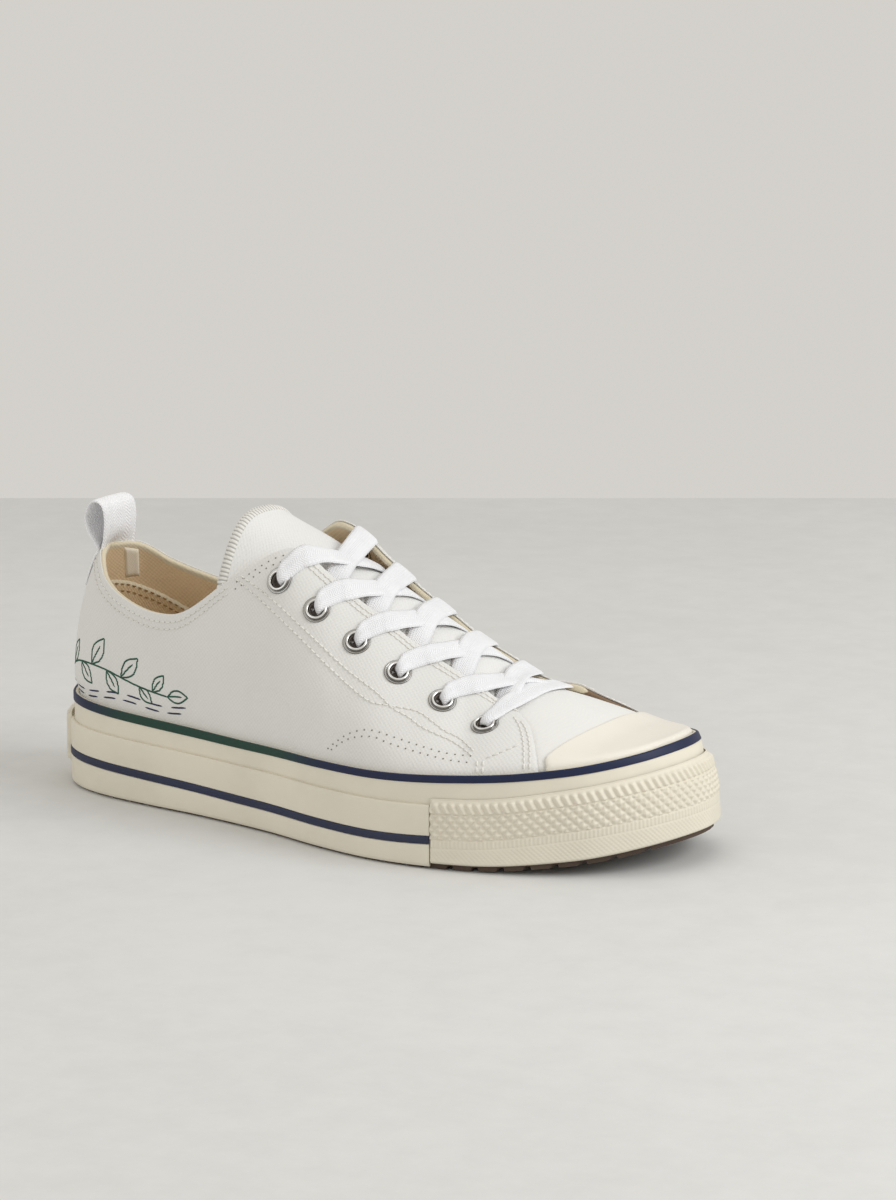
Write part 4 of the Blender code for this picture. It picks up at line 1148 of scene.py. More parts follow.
def side_stations(side, low, high, gap):
    """Stations of one side between two levels, from low to high, both ends included."""
    ring, away = HALVES[side]
    arcs = arcs_of(ring)
    xs = np.maximum.accumulate(ring[:, 0])
    first = np.interp(low, xs, arcs) if low > xs[0] else 0.0
    last = np.interp(high, xs, arcs) if high < xs[-1] else arcs[-1]
    count = max(int(round((last - first) / gap)), 2)
    rows = []
    for arc in np.linspace(first, last, count + 1):
        p = at_arc(arc, arcs, ring)
        rows.append((p[0], p, unit(at_arc(arc, arcs, away))))
    return rows


COLUMN_GAP = 1.25
DOWN_ROWS = 66
# Ways down from the free edge of the quarters where its rounding needs points, before the even ones
EDGE_WAYS = (0.0, 0.15, 0.4, 0.75, 1.2)
SKIRT = 5.0


def skirt_low(x):
    """Bottom of the cloth, which runs straight down behind the rubber."""
    return stripe_top(x) - SKIRT


def quarter_columns():
    """Columns of both quarters from the outer front edge round the heel to the inner front edge."""
    outer = side_stations(-1, -LENGTH / 2, QUARTER_FRONT, COLUMN_GAP)
    inner = side_stations(1, -LENGTH / 2, QUARTER_FRONT, COLUMN_GAP)
    return [(row, -1) for row in outer[::-1]] + [(row, 1) for row in inner[1:]]


def column_down(row, side, rule, bottom, phis=70):
    """Dense points of a column from the bottom of its skirt to where a rule ends it."""
    end = end_angle(row, side, rule)
    points = [column_skin(row, side, end * (k / phis) ** 0.8) for k in range(phis + 1)]
    foot = points[0]
    skirt = [np.array([foot[0], foot[1], z]) for z in np.linspace(bottom, foot[2], 6)[:-1]]
    return skirt + points


def quarter_grid():
    """Skin points of the quarters, their way down from the edge, and each column's station and side."""
    columns = quarter_columns()
    grid = []
    ways = []
    for row, side in columns:
        x = row[0]
        dense = column_down(row, side, quarter_cut, skirt_low(x))
        length = sum(np.linalg.norm(b - a) for a, b in zip(dense, dense[1:]))
        even = np.linspace(0, 1, DOWN_ROWS - len(EDGE_WAYS) + 1)[1:]
        gaps = [*EDGE_WAYS, *(EDGE_WAYS[-1] + (length - EDGE_WAYS[-1]) * t for t in even)]
        places = along_column(dense, gaps)
        for p in places:
            if p[2] > start_height(x) + 1:
                n = unit(np.array([*(p[:2] - head_of_column(x)), 0.0]))
                p += n * crease_of(p[0], side, p[2]) * smooth((p[2] - stripe_top(x)) / 12.0)
        grid.append(places)
        ways.append(gaps)
    return np.array(grid), np.array(ways), columns


def drop_near(faces, middles, spots, radius):
    """Faces that are clear of the eyelet holes."""
    kept = []
    for face in faces:
        middle = middles[list(face)].mean(axis=0)
        if all(np.linalg.norm(middle - spot) > radius for spot in spots):
            kept.append(face)
    return kept


def layer(name, grid, normals, low, high, swing, cloth, mat, nodes, spots):
    """Cloth layer between two offsets from a skin grid, open at the eyelets; swing rounds its edges."""
    rows, columns = grid.shape[:2]
    middle = (low + high) / 2
    half = (high - low) / 2
    outer = (grid + normals * (middle + half * swing)[:, :, None]).reshape(-1, 3)
    inner = (grid + normals * (middle - half * swing)[:, :, None]).reshape(-1, 3)
    size = rows * columns
    front = drop_near(grid_faces(rows, columns), outer, spots, EYELET_HOLE_R + 0.7)
    faces = front + [tuple(size + v for v in reversed(face)) for face in front]
    for i in range(rows - 1):
        for k in (0, columns - 1):
            a = i * columns + k
            faces.append((a, a + columns, size + a + columns, size + a))
    for k in range(columns - 1):
        for i in (0, rows - 1):
            a = i * columns + k
            faces.append((a, a + 1, size + a + 1, size + a))
    flat = cloth.reshape(-1, 3)
    return add_piece(name, np.concatenate([outer, inner]), faces, mat, nodes,
                     np.concatenate([flat, flat]))


def edge_rounding(ways, radius):
    """Share of the full thickness by the way from the free edge."""
    t = np.clip(ways / radius, 0.0, 1.0)
    return np.sqrt(np.clip(1 - (1 - t) ** 2, 0.03, 1.0))


def spot_of(x, side):
    """Centre of an eyelet on the quarter's face and the way it points."""
    y = ridge_y(x) + side * THROAT_HALF
    z = skin_at(x, y)
    walked = 0.0
    while walked < EYELET_ROW:
        ahead = skin_at(x, y + side)
        reach = math.hypot(1.0, ahead - z)
        part = min((EYELET_ROW - walked) / reach, 1.0)
        walked += reach
        y += side * part
        z += (ahead - z) * part
    normal = skin_normal(x, y)
    return np.array([x, y, z]) + normal * QUARTER_T, normal


SPOTS = {(side, i): spot_of(x, side) for side in (-1, 1) for i, x in enumerate(EYELET_X)}


# The inner quarter's front corner stands off the vamp: height, spread along the shoe and down the cloth
CORNER_LIFT = 2.6
CORNER_LONG = 13.0
CORNER_DEEP = 9.0


def make_quarters():
    grid, ways, columns = quarter_grid()
    normals = grid_normals(grid)
    size = grid.shape[:2]
    along = arcs_of(grid[:, 40])
    cloth = np.zeros((*size, 3))
    feet = np.array([row[1] for row, _ in columns])
    round_heel = arcs_of(feet)
    heel = int(np.argmin(feet[:, 0]))
    turn = np.where(np.arange(len(feet)) < heel, 1.0, -1.0)
    cloth[:, :, 0] = ((round_heel[heel] - round_heel) + turn * (grid[:, :, 0].T - feet[:, 0])).T
    cloth[:, :, 1] = ways[:, -1:] - ways
    cloth[:, :, 2] = ways
    sides = np.minimum(along, along[-1] - along)[:, None] * np.ones(size)
    free = np.minimum(ways, sides)
    spots = [spot for spot, _ in SPOTS.values()]
    top = np.full(size, QUARTER_T)
    inner = np.array([side for _, side in columns]) > 0
    level = np.array([row[0] for row, _ in columns])
    near = np.exp(-((level - QUARTER_FRONT) / CORNER_LONG) ** 2)[:, None]
    lift = CORNER_LIFT * near * np.exp(-ways / CORNER_DEEP) * inner[:, None]
    layer("quarters", grid, normals, top - 0.55 + lift, top + lift, edge_rounding(free, 0.3), cloth,
          MATS["quarter"], ("upper",), spots)
    layer("lining", grid, normals, lift - LINING_T, top - 0.6 + lift, edge_rounding(free, 1.0), cloth,
          MATS["lining"], (), spots)
    return grid, ways, normals, columns, lift


NOT_CUT = 1e3


def toe_halves(low_x, rule):
    """Both halves over the toe as grids, with the way of each point from where the rule cuts its column."""
    steps = 64
    across = 60
    levels = [low_x + (LENGTH / 2 - low_x) * (1 - (1 - k / steps) ** 1.8) for k in range(steps + 1)]
    halves = []
    for side in (-1, 1):
        rows = []
        cuts = []
        for x in levels:
            station = (x, *edge_point(x, side))
            dense = column_down(station, side, rule, skirt_low(x), 60)
            length = sum(np.linalg.norm(b - a) for a, b in zip(dense, dense[1:]))
            gaps = [length * (1 - t) for t in np.linspace(0, 1, across)]
            rows.append(along_column(dense, gaps))
            cut = end_angle(station, side, rule) < math.pi / 2 - 1e-6
            cuts.append(gaps if cut else [NOT_CUT] * across)
        halves.append((np.array(rows), np.array(cuts)))
    return levels, halves


def toe_sheet(name, low_x, rule, low, high, mat, nodes=(), edge=0.6):
    """Closed sheet over the toe: both halves share the ridge, and the rear edge is rounded."""
    levels, ((outer, outer_way), (inner, inner_way)) = toe_halves(low_x, rule)
    grid = np.concatenate([outer, inner[:, ::-1]], axis=1)
    way = np.concatenate([outer_way, inner_way[:, ::-1]], axis=1)
    across = outer.shape[1]
    normals = np.zeros(grid.shape)
    for half in (slice(0, across), slice(across, 2 * across)):
        part = grid[:, half]
        n = cross_normals(part)
        flip = (n * (part - np.array([30.0, 0.0, 10.0]))).sum(axis=2, keepdims=True)
        normals[:, half] = np.where(flip < 0, -n, n)
    joined = way[:, across - 1] == NOT_CUT
    for i in np.flatnonzero(joined):
        normals[i, across - 1: across + 1] = unit(normals[i, across - 1] + normals[i, across])
    for k in range(across):
        tip = unit(normals[-1, k] + normals[-1, 2 * across - 1 - k])
        normals[-1, k] = tip
        normals[-1, 2 * across - 1 - k] = tip
    rear = np.linalg.norm(grid - grid[:1], axis=2) if low_x > QUARTER_FRONT else NOT_CUT
    swing = edge_rounding(np.minimum(way, rear), edge)
    middle = (low + high) / 2
    half_t = (high - low) / 2
    faces_of = [grid + normals * (middle + half_t * turn * swing)[:, :, None] for turn in (1, -1)]
    rows, columns = grid.shape[:2]
    size = rows * columns
    front = [face for face in grid_faces(rows, columns)
             if face[0] % columns != across - 1 or joined[[face[0] // columns, face[1] // columns]].all()]
    faces = front + [tuple(size + v for v in reversed(face)) for face in front]
    counts = {}
    for face in front:
        for a, b in zip(face, face[1:] + face[:1]):
            key = (min(a, b), max(a, b))
            counts[key] = counts.get(key, 0) + 1
    for (a, b), n in counts.items():
        if n == 1 and not (a // columns == rows - 1 and b // columns == rows - 1):
            faces.append((a, b, size + b, size + a))
    cloth = np.zeros((rows, columns, 3))
    cloth[:, :, 0] = np.array(levels)[:, None]
    cloth[:, :, 1] = grid[:, :, 1]
    cloth[:, :, 2] = 10.0
    flat = cloth.reshape(-1, 3)
    return add_piece(name, np.concatenate([side.reshape(-1, 3) for side in faces_of]), faces, mat,
                     nodes, np.concatenate([flat, flat]))


# Tongue, loop, eyelets, lace

TONGUE_DROOP = 3.6


def make_tongue():
    rows = 150
    across = 41
    grid = []
    for x in np.linspace(TONGUE_FRONT, TONGUE_TOP, rows):
        half = tongue_half(x) + TONGUE_DROOP * smooth((-20.0 - x) / 24.0)
        line = []
        for t in np.linspace(-1, 1, across):
            y = ridge_y(x) + half * math.sin(t * math.pi / 2)
            soft = 0.35 * math.sin(x / 5.1 + 1.3 * t) * math.exp(-((t - 0.1) / 0.8) ** 2)
            line.append((x, y, tongue_z(x, y) + soft))
        grid.append(line)
    grid = np.array(grid)
    normals = grid_normals(grid)
    back = arcs_of(grid[:, across // 2])
    cloth = np.zeros(grid.shape)
    cloth[:, :, 0] = back[:, None]
    cloth[:, :, 1] = grid[:, :, 1]
    for i in range(rows):
        lengths = arcs_of(grid[i])
        cloth[i, :, 2] = np.minimum(np.minimum(lengths, lengths[-1] - lengths), back[-1] - back[i])
    half = TONGUE_T / 2 * edge_rounding(cloth[:, :, 2], 1.0)[:, :, None]
    middle = -TONGUE_T / 2
    thick_sheet("tongue_cloth", grid, normals * (middle + half), normals * (middle - half), cloth,
                MATS["tongue"], "canvas", ("tongue",))
    make_overlock(grid, normals)


OVERLOCK_PITCH = 1.7
OVERLOCK_WIDE = 3.3
OVERLOCK_START = 0.30
OVERLOCK_PATH = (
    # across the edge inward, height over the tongue's face: from below, round the edge, over the face
    (-0.15, -TONGUE_T - 0.1), (-0.45, -TONGUE_T * 0.75), (-0.5, -TONGUE_T * 0.4), (-0.35, -0.3),
    (0.1, 0.14), (0.9, 0.2), (OVERLOCK_WIDE * 0.7, 0.18), (OVERLOCK_WIDE, -0.05),
)


def make_overlock(grid, normals):
    """Thread wound over the tongue's free edge, as one ribbed band."""
    rim = []
    rows, across = grid.shape[:2]
    first = int(rows * OVERLOCK_START)
    for i in range(first, rows):
        rim.append((grid[i, 0], grid[i, 1] - grid[i, 0], normals[i, 0]))
    for k in range(1, across - 1):
        rim.append((grid[-1, k], grid[-2, k] - grid[-1, k], normals[-1, k]))
    for i in range(rows - 1, first - 1, -1):
        rim.append((grid[i, -1], grid[i, -2] - grid[i, -1], normals[i, -1]))
    points = np.array([r[0] for r in rim])
    arcs = arcs_of(points)
    inward = np.array([unit(r[1]) for r in rim])
    ups = np.array([r[2] for r in rim])
    for _ in range(6):
        for line in (inward, points):
            line[1:-1] = (line[:-2] + line[1:-1] * 2 + line[2:]) / 4
    samples = np.arange(0, arcs[-1], OVERLOCK_PITCH / 6)
    tree = bvh_of("tongue_cloth")
    front = []
    back = []
    last = len(OVERLOCK_PATH) - 1
    for arc in samples:
        p = at_arc(arc, arcs, points)
        inn = unit(at_arc(arc, arcs, inward))
        up = unit(at_arc(arc, arcs, ups))
        rib = 0.42 * wave(arc / OVERLOCK_PITCH) ** 0.6
        for n, (along, lift) in enumerate(OVERLOCK_PATH):
            bulge = rib if 0 < n < last else 0.0
            out = unit(inn * (-1.0 if n < 4 else 0.0) + up * (1.0 if n > 2 else 0.0))
            base = p + inn * along
            if n >= 4:
                hit = cast(tree, base + up * 6, -up)
                base = hit if hit is not None else base
            else:
                base = base + up * lift
            front.append(base + out * (bulge + 0.12))
            back.append(base - out * 0.35)
    cloth = [(arc, k, 0.0) for arc in samples for k in range(last + 1)] * 2
    close_sheet("tongue_overlock", front, back, len(samples), last + 1, MATS["lace_edge"], "cotton",
                cloth=cloth)


def bvh_of(name):
    made = bpy.data.objects[name]
    return BVHTree.FromObject(made, bpy.context.evaluated_depsgraph_get())


def cast_normal(tree, start, direction, reach=400.0):
    """Where a ray in shoe millimetres meets a mesh and the normal there, or None twice."""
    hit = tree.ray_cast(Vector((np.asarray(start) + SHIFT) * MILLI), Vector(direction), reach * MILLI)
    if hit[0] is None:
        return None, None
    n = np.array(hit[1])
    return np.array(hit[0]) / MILLI - SHIFT, n if n @ np.asarray(direction) < 0 else -n


def cast(tree, start, direction, reach=400.0):
    return cast_normal(tree, start, direction, reach)[0]


def spline(points, gap):
    """Even points of a smooth open curve through a few points."""
    points = np.asarray(points, float)
    full = np.concatenate([[2 * points[0] - points[1]], points, [2 * points[-1] - points[-2]]])
    dense = []
    for i in range(1, len(full) - 2):
        p0, p1, p2, p3 = full[i - 1: i + 3]
        for t in np.linspace(0, 1, 24, endpoint=False):
            dense.append(0.5 * (2 * p1 + (p2 - p0) * t + (2 * p0 - 5 * p1 + 4 * p2 - p3) * t * t
                                + (3 * p1 - p0 - 3 * p2 + p3) * t ** 3))
    dense = np.array(dense + [points[-1]])
    length = arcs_of(dense)
    count = max(int(round(length[-1] / gap)), 2)
    return at_arc(np.linspace(0, length[-1], count + 1), length, dense)


# The loop's legs: way down from HEEL_TOP, and how far the outer leg stands off the quarter there
LOOP_DOWNS = ((0.8, 0.75), (3.2, 0.72), (7.0, 0.68), (11.0, 0.62), (15.0, 0.5))


def make_pull_loop(tree):
    """Herringbone tape from the back of the heel, over, and down inside."""
    top = heel_x(HEEL_TOP)
    free = [(top + forward, HEEL_TOP + up) for forward, up in LOOP_PATH]
    across = 15
    lines = []
    for k in range(across):
        y = LOOP_W * (k / (across - 1) - 0.5)
        bow = LOOP_HUG * y * y / LOOP_W
        back = []
        front = []
        for down, proud in LOOP_DOWNS:
            z = HEEL_TOP - down
            back.append((cast(tree, (-LENGTH, y, z), (1.0, 0.0, 0.0))[0] - proud, y, z))
            front.append((cast(tree, (SPINE_HEEL, y, z), (-1.0, 0.0, 0.0))[0] + 0.2, y, z))
        line = back[::-1] + [(p[0] + bow, y, p[1]) for p in free] + front[:3]
        lines.append(spline(line, 0.9))
    count = min(len(line) for line in lines)
    picks = [[int(round(i * (len(line) - 1) / (count - 1))) for i in range(count)] for line in lines]
    grid = np.array([line[pick] for line, pick in zip(lines, picks)]).transpose(1, 0, 2)
    normals = cross_normals(grid)
    middle = np.array([free[3][0], 0.0, HEEL_TOP + 9.0])
    if (normals[count // 2, across // 2] * (grid[count // 2, across // 2] - middle)).sum() < 0:
        normals = -normals
    way = np.minimum(np.arange(across), np.arange(across)[::-1]) * LOOP_W / (across - 1)
    step = normals * (LOOP_T / 2 * edge_rounding(way, 0.6)[None, :, None])
    cloth = np.zeros((count, across, 3))
    cloth[:, :, 0] = arcs_of(grid[:, across // 2])[:, None]
    cloth[:, :, 1] = grid[:, :, 1] + 30.0
    thick_sheet("heel_loop", grid, step, -step, cloth, MATS["loop"], "cotton", ("pull_loop",))


EYELET_PROFILE = (
    # radius, height above the cloth: flange, groove, rolled ring, barrel, washer inside
    (4.95, -0.15), (5.05, 0.05), (5.0, 0.24), (4.8, 0.33), (4.45, 0.30), (4.22, 0.14), (4.12, 0.20),
    (4.05, 0.62), (3.88, 0.98), (3.62, 1.17), (3.32, 1.16), (3.05, 0.95), (2.88, 0.55), (2.82, 0.0),
    (2.80, -1.2), (2.85, -2.9), (3.3, -3.3), (4.4, -3.35), (4.5, -3.15), (3.6, -2.95), (3.15, -2.6),
    (3.1, -0.4), (3.6, -0.2),
)
# Cup that closes each eyelet's barrel below the cloth: a blackish piece of painted shade in the hole
HOLE_SHADE_PROFILE = ((2.78, 0.25), (2.62, 0.2), (2.60, -0.9), (2.45, -1.9), (0.0, -2.1), (0.0, -2.5),
                  (2.78, -2.3))


def make_rings(name, profile, mat, nodes=()):
    """The same turned profile at every eyelet, in one piece."""
    verts = []
    faces = []
    segments = 40
    cloth = [(r, h, 0.0) for r, h in profile] * segments * len(SPOTS)
    for spot, normal in SPOTS.values():
        across = unit(np.cross(normal, (0.0, 1.0, 0.0)))
        along = np.cross(normal, across)
        faces += grid_faces(segments, len(profile), True, True, base=len(verts))
        for s in range(segments):
            angle = 2 * math.pi * s / segments
            outward = across * math.cos(angle) + along * math.sin(angle)
            verts += [spot + outward * r + normal * h for r, h in profile]
    add_piece(name, verts, faces, mat, nodes, cloth)


def make_eyelets():
    names = [f"eyelet_{row}_{i + 1}" for row in ("outer", "inner") for i in range(len(EYELET_X))]
    make_rings("eyelet_rings", EYELET_PROFILE, MATS["nickel"], names)
    # the cups stand for the shade inside the holes: painted shade
    make_rings("eyelet_throats", HOLE_SHADE_PROFILE, MATS["throat"])


LACE_LIE = 0.55
LACE_HUMP = 1.15
LACE_RISE = 1.3
LACE_HUMP_OVER = 13.0
HOLE_WIDTH = 4.7
LACE_SPREAD = 11.0


def covered(x, y, over_side, under_side):
    """Surface that the lace lies on; beyond the edge on the under side it runs below the quarter."""
    middle = ridge_y(x)
    off = y - middle
    side = 1 if off > 0 else -1
    away = abs(off)
    if side == over_side and away > THROAT_HALF - 1.2:
        stand = QUARTER_T + 0.15
    elif side == under_side and away > THROAT_HALF - 0.5:
        stand = -(LINING_T + LACE_T + LACE_LIE + 0.3)
    else:
        low = tongue_z(x, y)
        if x > THROAT_END - 3:
            low = max(low, skin_at(x, middle + side * max(away, 0.6)) + 0.1)
        return low
    at = middle + side * max(away, THROAT_HALF)
    return skin_at(x, at) + stand / skin_normal(x, at)[2]


def taut(plan, heights, beneath):
    """Heights of a strip pulled tight over what it lies on, up to where it goes below the far edge."""
    way = arcs_of(plan)
    last = int(np.argmax(beneath)) if beneath.any() else len(way) - 1
    hull = [0]
    for i in range(1, last + 1):
        while len(hull) > 1:
            a, b = hull[-2], hull[-1]
            line = heights[a] + (heights[i] - heights[a]) * (way[b] - way[a]) / (way[i] - way[a])
            if heights[b] > line:
                break
            hull.pop()
        hull.append(i)
    tight = heights.copy()
    tight[: last + 1] = np.interp(way[: last + 1], way[hull], heights[hull])
    return tight


LACE_ACROSS = 9


def lace_strip(name, eyelet, route, over_side, hump, bar=False):
    """One run from the outside of an eyelet, over its edge, to the inside of the next on the other side."""
    line = spline(route, 0.8)
    count = len(line)
    t = np.linspace(0, 1, count)
    xs, offs = line.T
    runs = np.gradient(line, axis=0)
    runs /= np.linalg.norm(runs, axis=1)[:, None]
    heights = np.zeros((count, LACE_ACROSS))
    places = np.zeros((count, LACE_ACROSS, 3))
    beneath = np.zeros((count, LACE_ACROSS), bool)
    length = 0.8 * count
    for i in range(count):
        spread = length * (min(t[i], 1 - t[i]) if bar else t[i]) / LACE_SPREAD
        width = LACE_W * (0.70 + 0.30 * smooth(spread))
        for k in range(LACE_ACROSS):
            part = k / (LACE_ACROSS - 1) - 0.5
            x = xs[i] - runs[i][1] * width * part
            off = offs[i] + runs[i][0] * width * part
            y = ridge_y(x) + off
            sides = (-1, 1) if bar else (over_side,)
            z = max(covered(x, y, side, None if bar else -over_side) for side in sides)
            beneath[i, k] = not bar and off * over_side < 0 and abs(off) > THROAT_HALF - 0.5
            heights[i, k] = z + LACE_LIE + hump * max(1 - (off / LACE_HUMP_OVER) ** 2, 0.0)
            places[i, k] = (x, y, 0.0)
    for k in range(LACE_ACROSS):
        heights[:, k] = taut(places[:, k, :2], heights[:, k], beneath[:, k])
    high = heights.copy()
    for _ in range(26):
        high[1:-1] = (high[:-2] + 2 * high[1:-1] + high[2:]) / 4
    high = np.maximum(high, heights - 0.5)
    for _ in range(4):
        high[1:-1] = (high[:-2] + 2 * high[1:-1] + high[2:]) / 4
        high[:, 1:-1] = (high[:, :-2] + 2 * high[:, 1:-1] + high[:, 2:]) / 4
    places[:, :, 2] = high
    head = hole_rows(places, over_side, eyelet, True)
    tail = hole_rows(places[::-1], -over_side, eyelet + (0 if bar else 1), bar)
    make_strip(name, np.concatenate([head, places, tail[::-1]]))


def hole_rows(places, side, eyelet, outside):
    """Rows that narrow the lace from its flat run into an eyelet, from the hole outward."""
    spot, normal = SPOTS[(side, eyelet)]
    first = places[0]
    middle = first.mean(axis=0)
    travel = unit(middle - places[3].mean(axis=0))
    wide = unit(first[-1] - first[0])
    up = 1.0 if outside else -1.0
    mouth = spot + normal * (1.45 if outside else -LINING_T - QUARTER_T - 1.6)
    deep = spot + normal * (-1.6 if outside else -1.2)
    control = mouth + unit(middle - spot) * 1.2
    flat_wide = unit(wide - normal * (wide @ normal))
    span = np.linalg.norm(first[-1] - first[0])
    across = places.shape[1]
    rows = []
    steps = 14
    for s in range(steps):
        t = s / steps
        a = (1 - t) ** 3
        b = 3 * t * (1 - t) ** 2
        c = 3 * t * t * (1 - t)
        d = t ** 3
        centre = deep * a + control * b + (middle + travel * 2.2 + normal * 0.25 * up) * c + middle * d
        grow = smooth(t * 1.1)
        width = HOLE_WIDTH + (span - HOLE_WIDTH) * grow
        line = unit(flat_wide * (1 - grow) + wide * grow)
        row = []
        for k in range(across):
            part = k / (across - 1) - 0.5
            cup = (1 - grow) * 1.5 * (1 - (2 * part) ** 2)
            flat = centre + line * width * part
            edge_shape = first[k] - (middle + wide * (first[k] - middle).dot(wide))
            row.append(flat + normal * up * cup + edge_shape * grow)
        rows.append(row)
    return np.array(rows)


def make_strip(name, grid):
    """Flat woven lace from its middle surface."""
    normals = cross_normals(grid)
    if normals[len(grid) // 2, :, 2].mean() < 0:
        normals = -normals
    across = grid.shape[1]
    widths = np.linalg.norm(grid[:, -1] - grid[:, 0], axis=1)
    off = np.abs(np.linspace(-1, 1, across))
    half = LACE_T / 2 * edge_rounding((1 - off)[None, :] * widths[:, None] / 2, 0.65)[:, :, None]
    crown = 0.12 * (1 - off ** 2)[None, :, None]
    cloth = np.zeros(grid.shape)
    cloth[:, :, 0] = arcs_of(grid[:, across // 2])[:, None]
    cloth[:, :, 1] = np.linspace(-0.5, 0.5, across)[None, :] * LACE_W + 20.0
    node = "lace_bar" if name == "lace_front" else f"lace_cross_{name[-1]}"
    thick_sheet(name, grid, normals * (half + crown), -normals * half, cloth, MATS["lace"], "cotton",
                (node,))


# Plan of a run as it leaves its eyelet, and of the front bar: forward of the eyelet, off the middle
LACE_START = ((2.3, 26.6), (5.0, 22.4), (7.6, 18.0))
LACE_BAR = ((1.4, -27.0), (2.2, -18.0), (2.4, 0.0), (2.2, 18.0), (1.4, 27.0))


def make_laces():
    """Under runs from the outer eyelets, over runs from the inner ones, and the front bar."""
    for i in range(len(EYELET_X) - 1):
        x = EYELET_X[i]
        step = EYELET_X[i + 1] - x
        for side, name, hump in ((-1, "lace_low", LACE_RISE), (1, "lace_high", LACE_RISE + LACE_HUMP)):
            ahead = step + (0.6 if side < 0 else -0.8)
            route = [(x + dx, side * off) for dx, off in LACE_START]
            route += [(x + (LACE_START[-1][0] + ahead) / 2, 0.0), (x + ahead, -side * THROAT_HALF),
                      (x + ahead + 1.3, -side * 24.0)]
            lace_strip(f"{name}_{i + 1}", i, route, side, hump)
    route = [(EYELET_X[-1] + dx, off) for dx, off in LACE_BAR]
    lace_strip("lace_front", len(EYELET_X) - 1, route, -1, 0.3, bar=True)


# The view, fitted to the photograph, and the stitching
PHOTO_SIZE = (896, 1200)
VIEW_TURN = 31.0
VIEW_RISE = 12.0
VIEW_AWAY = 1520.0
VIEW_LENS = 126.17
VIEW_LOOK = np.array([29.155, 0.0, 84.169])
FILM = 36.0


def view_axes():
    turn = math.radians(VIEW_TURN)
    rise = math.radians(VIEW_RISE)
    away = np.array([math.sin(turn) * math.cos(rise), -math.cos(turn) * math.cos(rise), math.sin(rise)])
    right = np.array([math.cos(turn), math.sin(turn), 0.0])
    return away, right, np.cross(away, right)


def photo_ray(px, py):
    """Start and direction of the ray through a place of the photograph."""
    away, right, up = view_axes()
    scale = FILM / PHOTO_SIZE[1] / VIEW_LENS
    u = (px - PHOTO_SIZE[0] / 2) * scale
    v = (PHOTO_SIZE[1] / 2 - py) * scale
    return VIEW_LOOK + away * VIEW_AWAY, unit(-away + right * u + up * v)


# Places on the outer quarter, in pixels of the photograph
EYESTAY_LOW = ((235, 578), (263, 602.3), (301, 639), (333, 671), (366, 699.3), (386, 705), (416, 710.8),
               (432.7, 721.6), (444.3, 730.7), (459.2, 738), (472.5, 749.8))
EYESTAY_HIGH = ((240, 575), (270, 598), (308, 633), (345, 668), (376, 692), (392.9, 708.3), (407.8, 716.6),
                (421, 726.5), (434.3, 733.2), (449.3, 739.8), (462.5, 748), (472.5, 756.4))
STAY_OUTER = ((325.7, 750.6), (333.2, 744), (349.8, 733.2), (369.7, 729.9), (394.5, 737.3), (417.7, 745),
              (446, 753), (474, 756.4))
STAY_INNER = ((329, 751.4), (344, 741), (357.2, 736.8), (373.8, 737), (389.6, 743.4), (419.4, 752.7),
              (449.3, 760), (472.5, 763))
FRONT_ROWS = (
    ((523.9, 770), (523.5, 745), (520, 728), (514, 717)),
    ((529.7, 770), (529.3, 745), (526, 730), (521, 721)),
    ((476.6, 774), (477, 766), (477, 758)),
    ((482.4, 774), (483, 766), (483.5, 758)),
    ((485.7, 758), (495.7, 754.7), (507.3, 749.8), (518.9, 744.8)),
)


def photo_path(tree, pixels, gap):
    """Places and normals on a surface along a line of the photograph."""
    out = []
    for px, py in spline(pixels, 1.0):
        start, direction = photo_ray(px, py)
        hit, normal = cast_normal(tree, start, direction, 3000.0)
        if hit is not None:
            out.append((hit, normal))
    return respace(out, gap)


def respace(path, gap):
    if len(path) < 2:
        return []
    points = np.array([p for p, _ in path])
    normals = np.array([n for _, n in path])
    length = arcs_of(points)
    return [(at_arc(at, length, points), unit(at_arc(at, length, normals)))
            for at in np.arange(gap / 2, length[-1], gap)]


def mirrored(tree, path):
    """The same places on the inner side: level with each point, met from the other side."""
    out = []
    for p, _ in path:
        hit, normal = cast_normal(tree, (p[0], 160.0, p[2]), (0.0, -1.0, 0.0))
        if hit is not None and hit[1] > 0:
            out.append((hit, normal))
    return out


def edge_row(quarter, way, keep):
    """Runs of places a given way down from the quarter's free edge, for the columns that keep() allows."""
    grid, ways, normals, columns, lift = quarter
    runs = []
    run = []
    for i, (row, side) in enumerate(columns):
        if keep(row[0], side):
            n = unit(at_arc(way, ways[i], normals[i]))
            out = QUARTER_T + np.interp(way, ways[i], lift[i])
            run.append((at_arc(way, ways[i], grid[i]) + n * out, n))
        elif run:
            runs.append(run)
            run = []
    if run:
        runs.append(run)
    return runs


def between(path):
    """Places halfway between the stitches of a path, where the needle went in."""
    return [((a + b) / 2, n) for (a, n), (b, _) in zip(path, path[1:])]


def sew(name, paths, length, width, mat, sink=0.30, pinholes=False):
    """Row of stitches: short rounded strokes along each path, joined in one piece."""
    verts = []
    faces = []
    rings = ((-0.5, 0.15), (-0.42, 0.65), (-0.2, 1.0), (0.2, 1.0), (0.42, 0.65), (0.5, 0.15))
    sides = 6
    for path in paths:
        for i, (p, n) in enumerate(path):
            ahead = path[min(i + 1, len(path) - 1)][0] - path[max(i - 1, 0)][0]
            along = unit(ahead - n * (ahead @ n))
            across = np.cross(n, along)
            faces += grid_faces(len(rings), sides, wrap_columns=True, base=len(verts))
            faces += end_caps(len(rings), sides, base=len(verts))
            for share_along, thick in rings:
                arch = (1 - (2 * share_along) ** 2) * 0.12
                for s in range(sides):
                    angle = 2 * math.pi * s / sides
                    r = width / 2 * thick
                    verts.append(p + along * share_along * length + n * (width * (0.5 - sink) + arch - 0.12)
                                 + across * math.cos(angle) * r + n * math.sin(angle) * r)
    add_piece(name, verts, faces, mat)


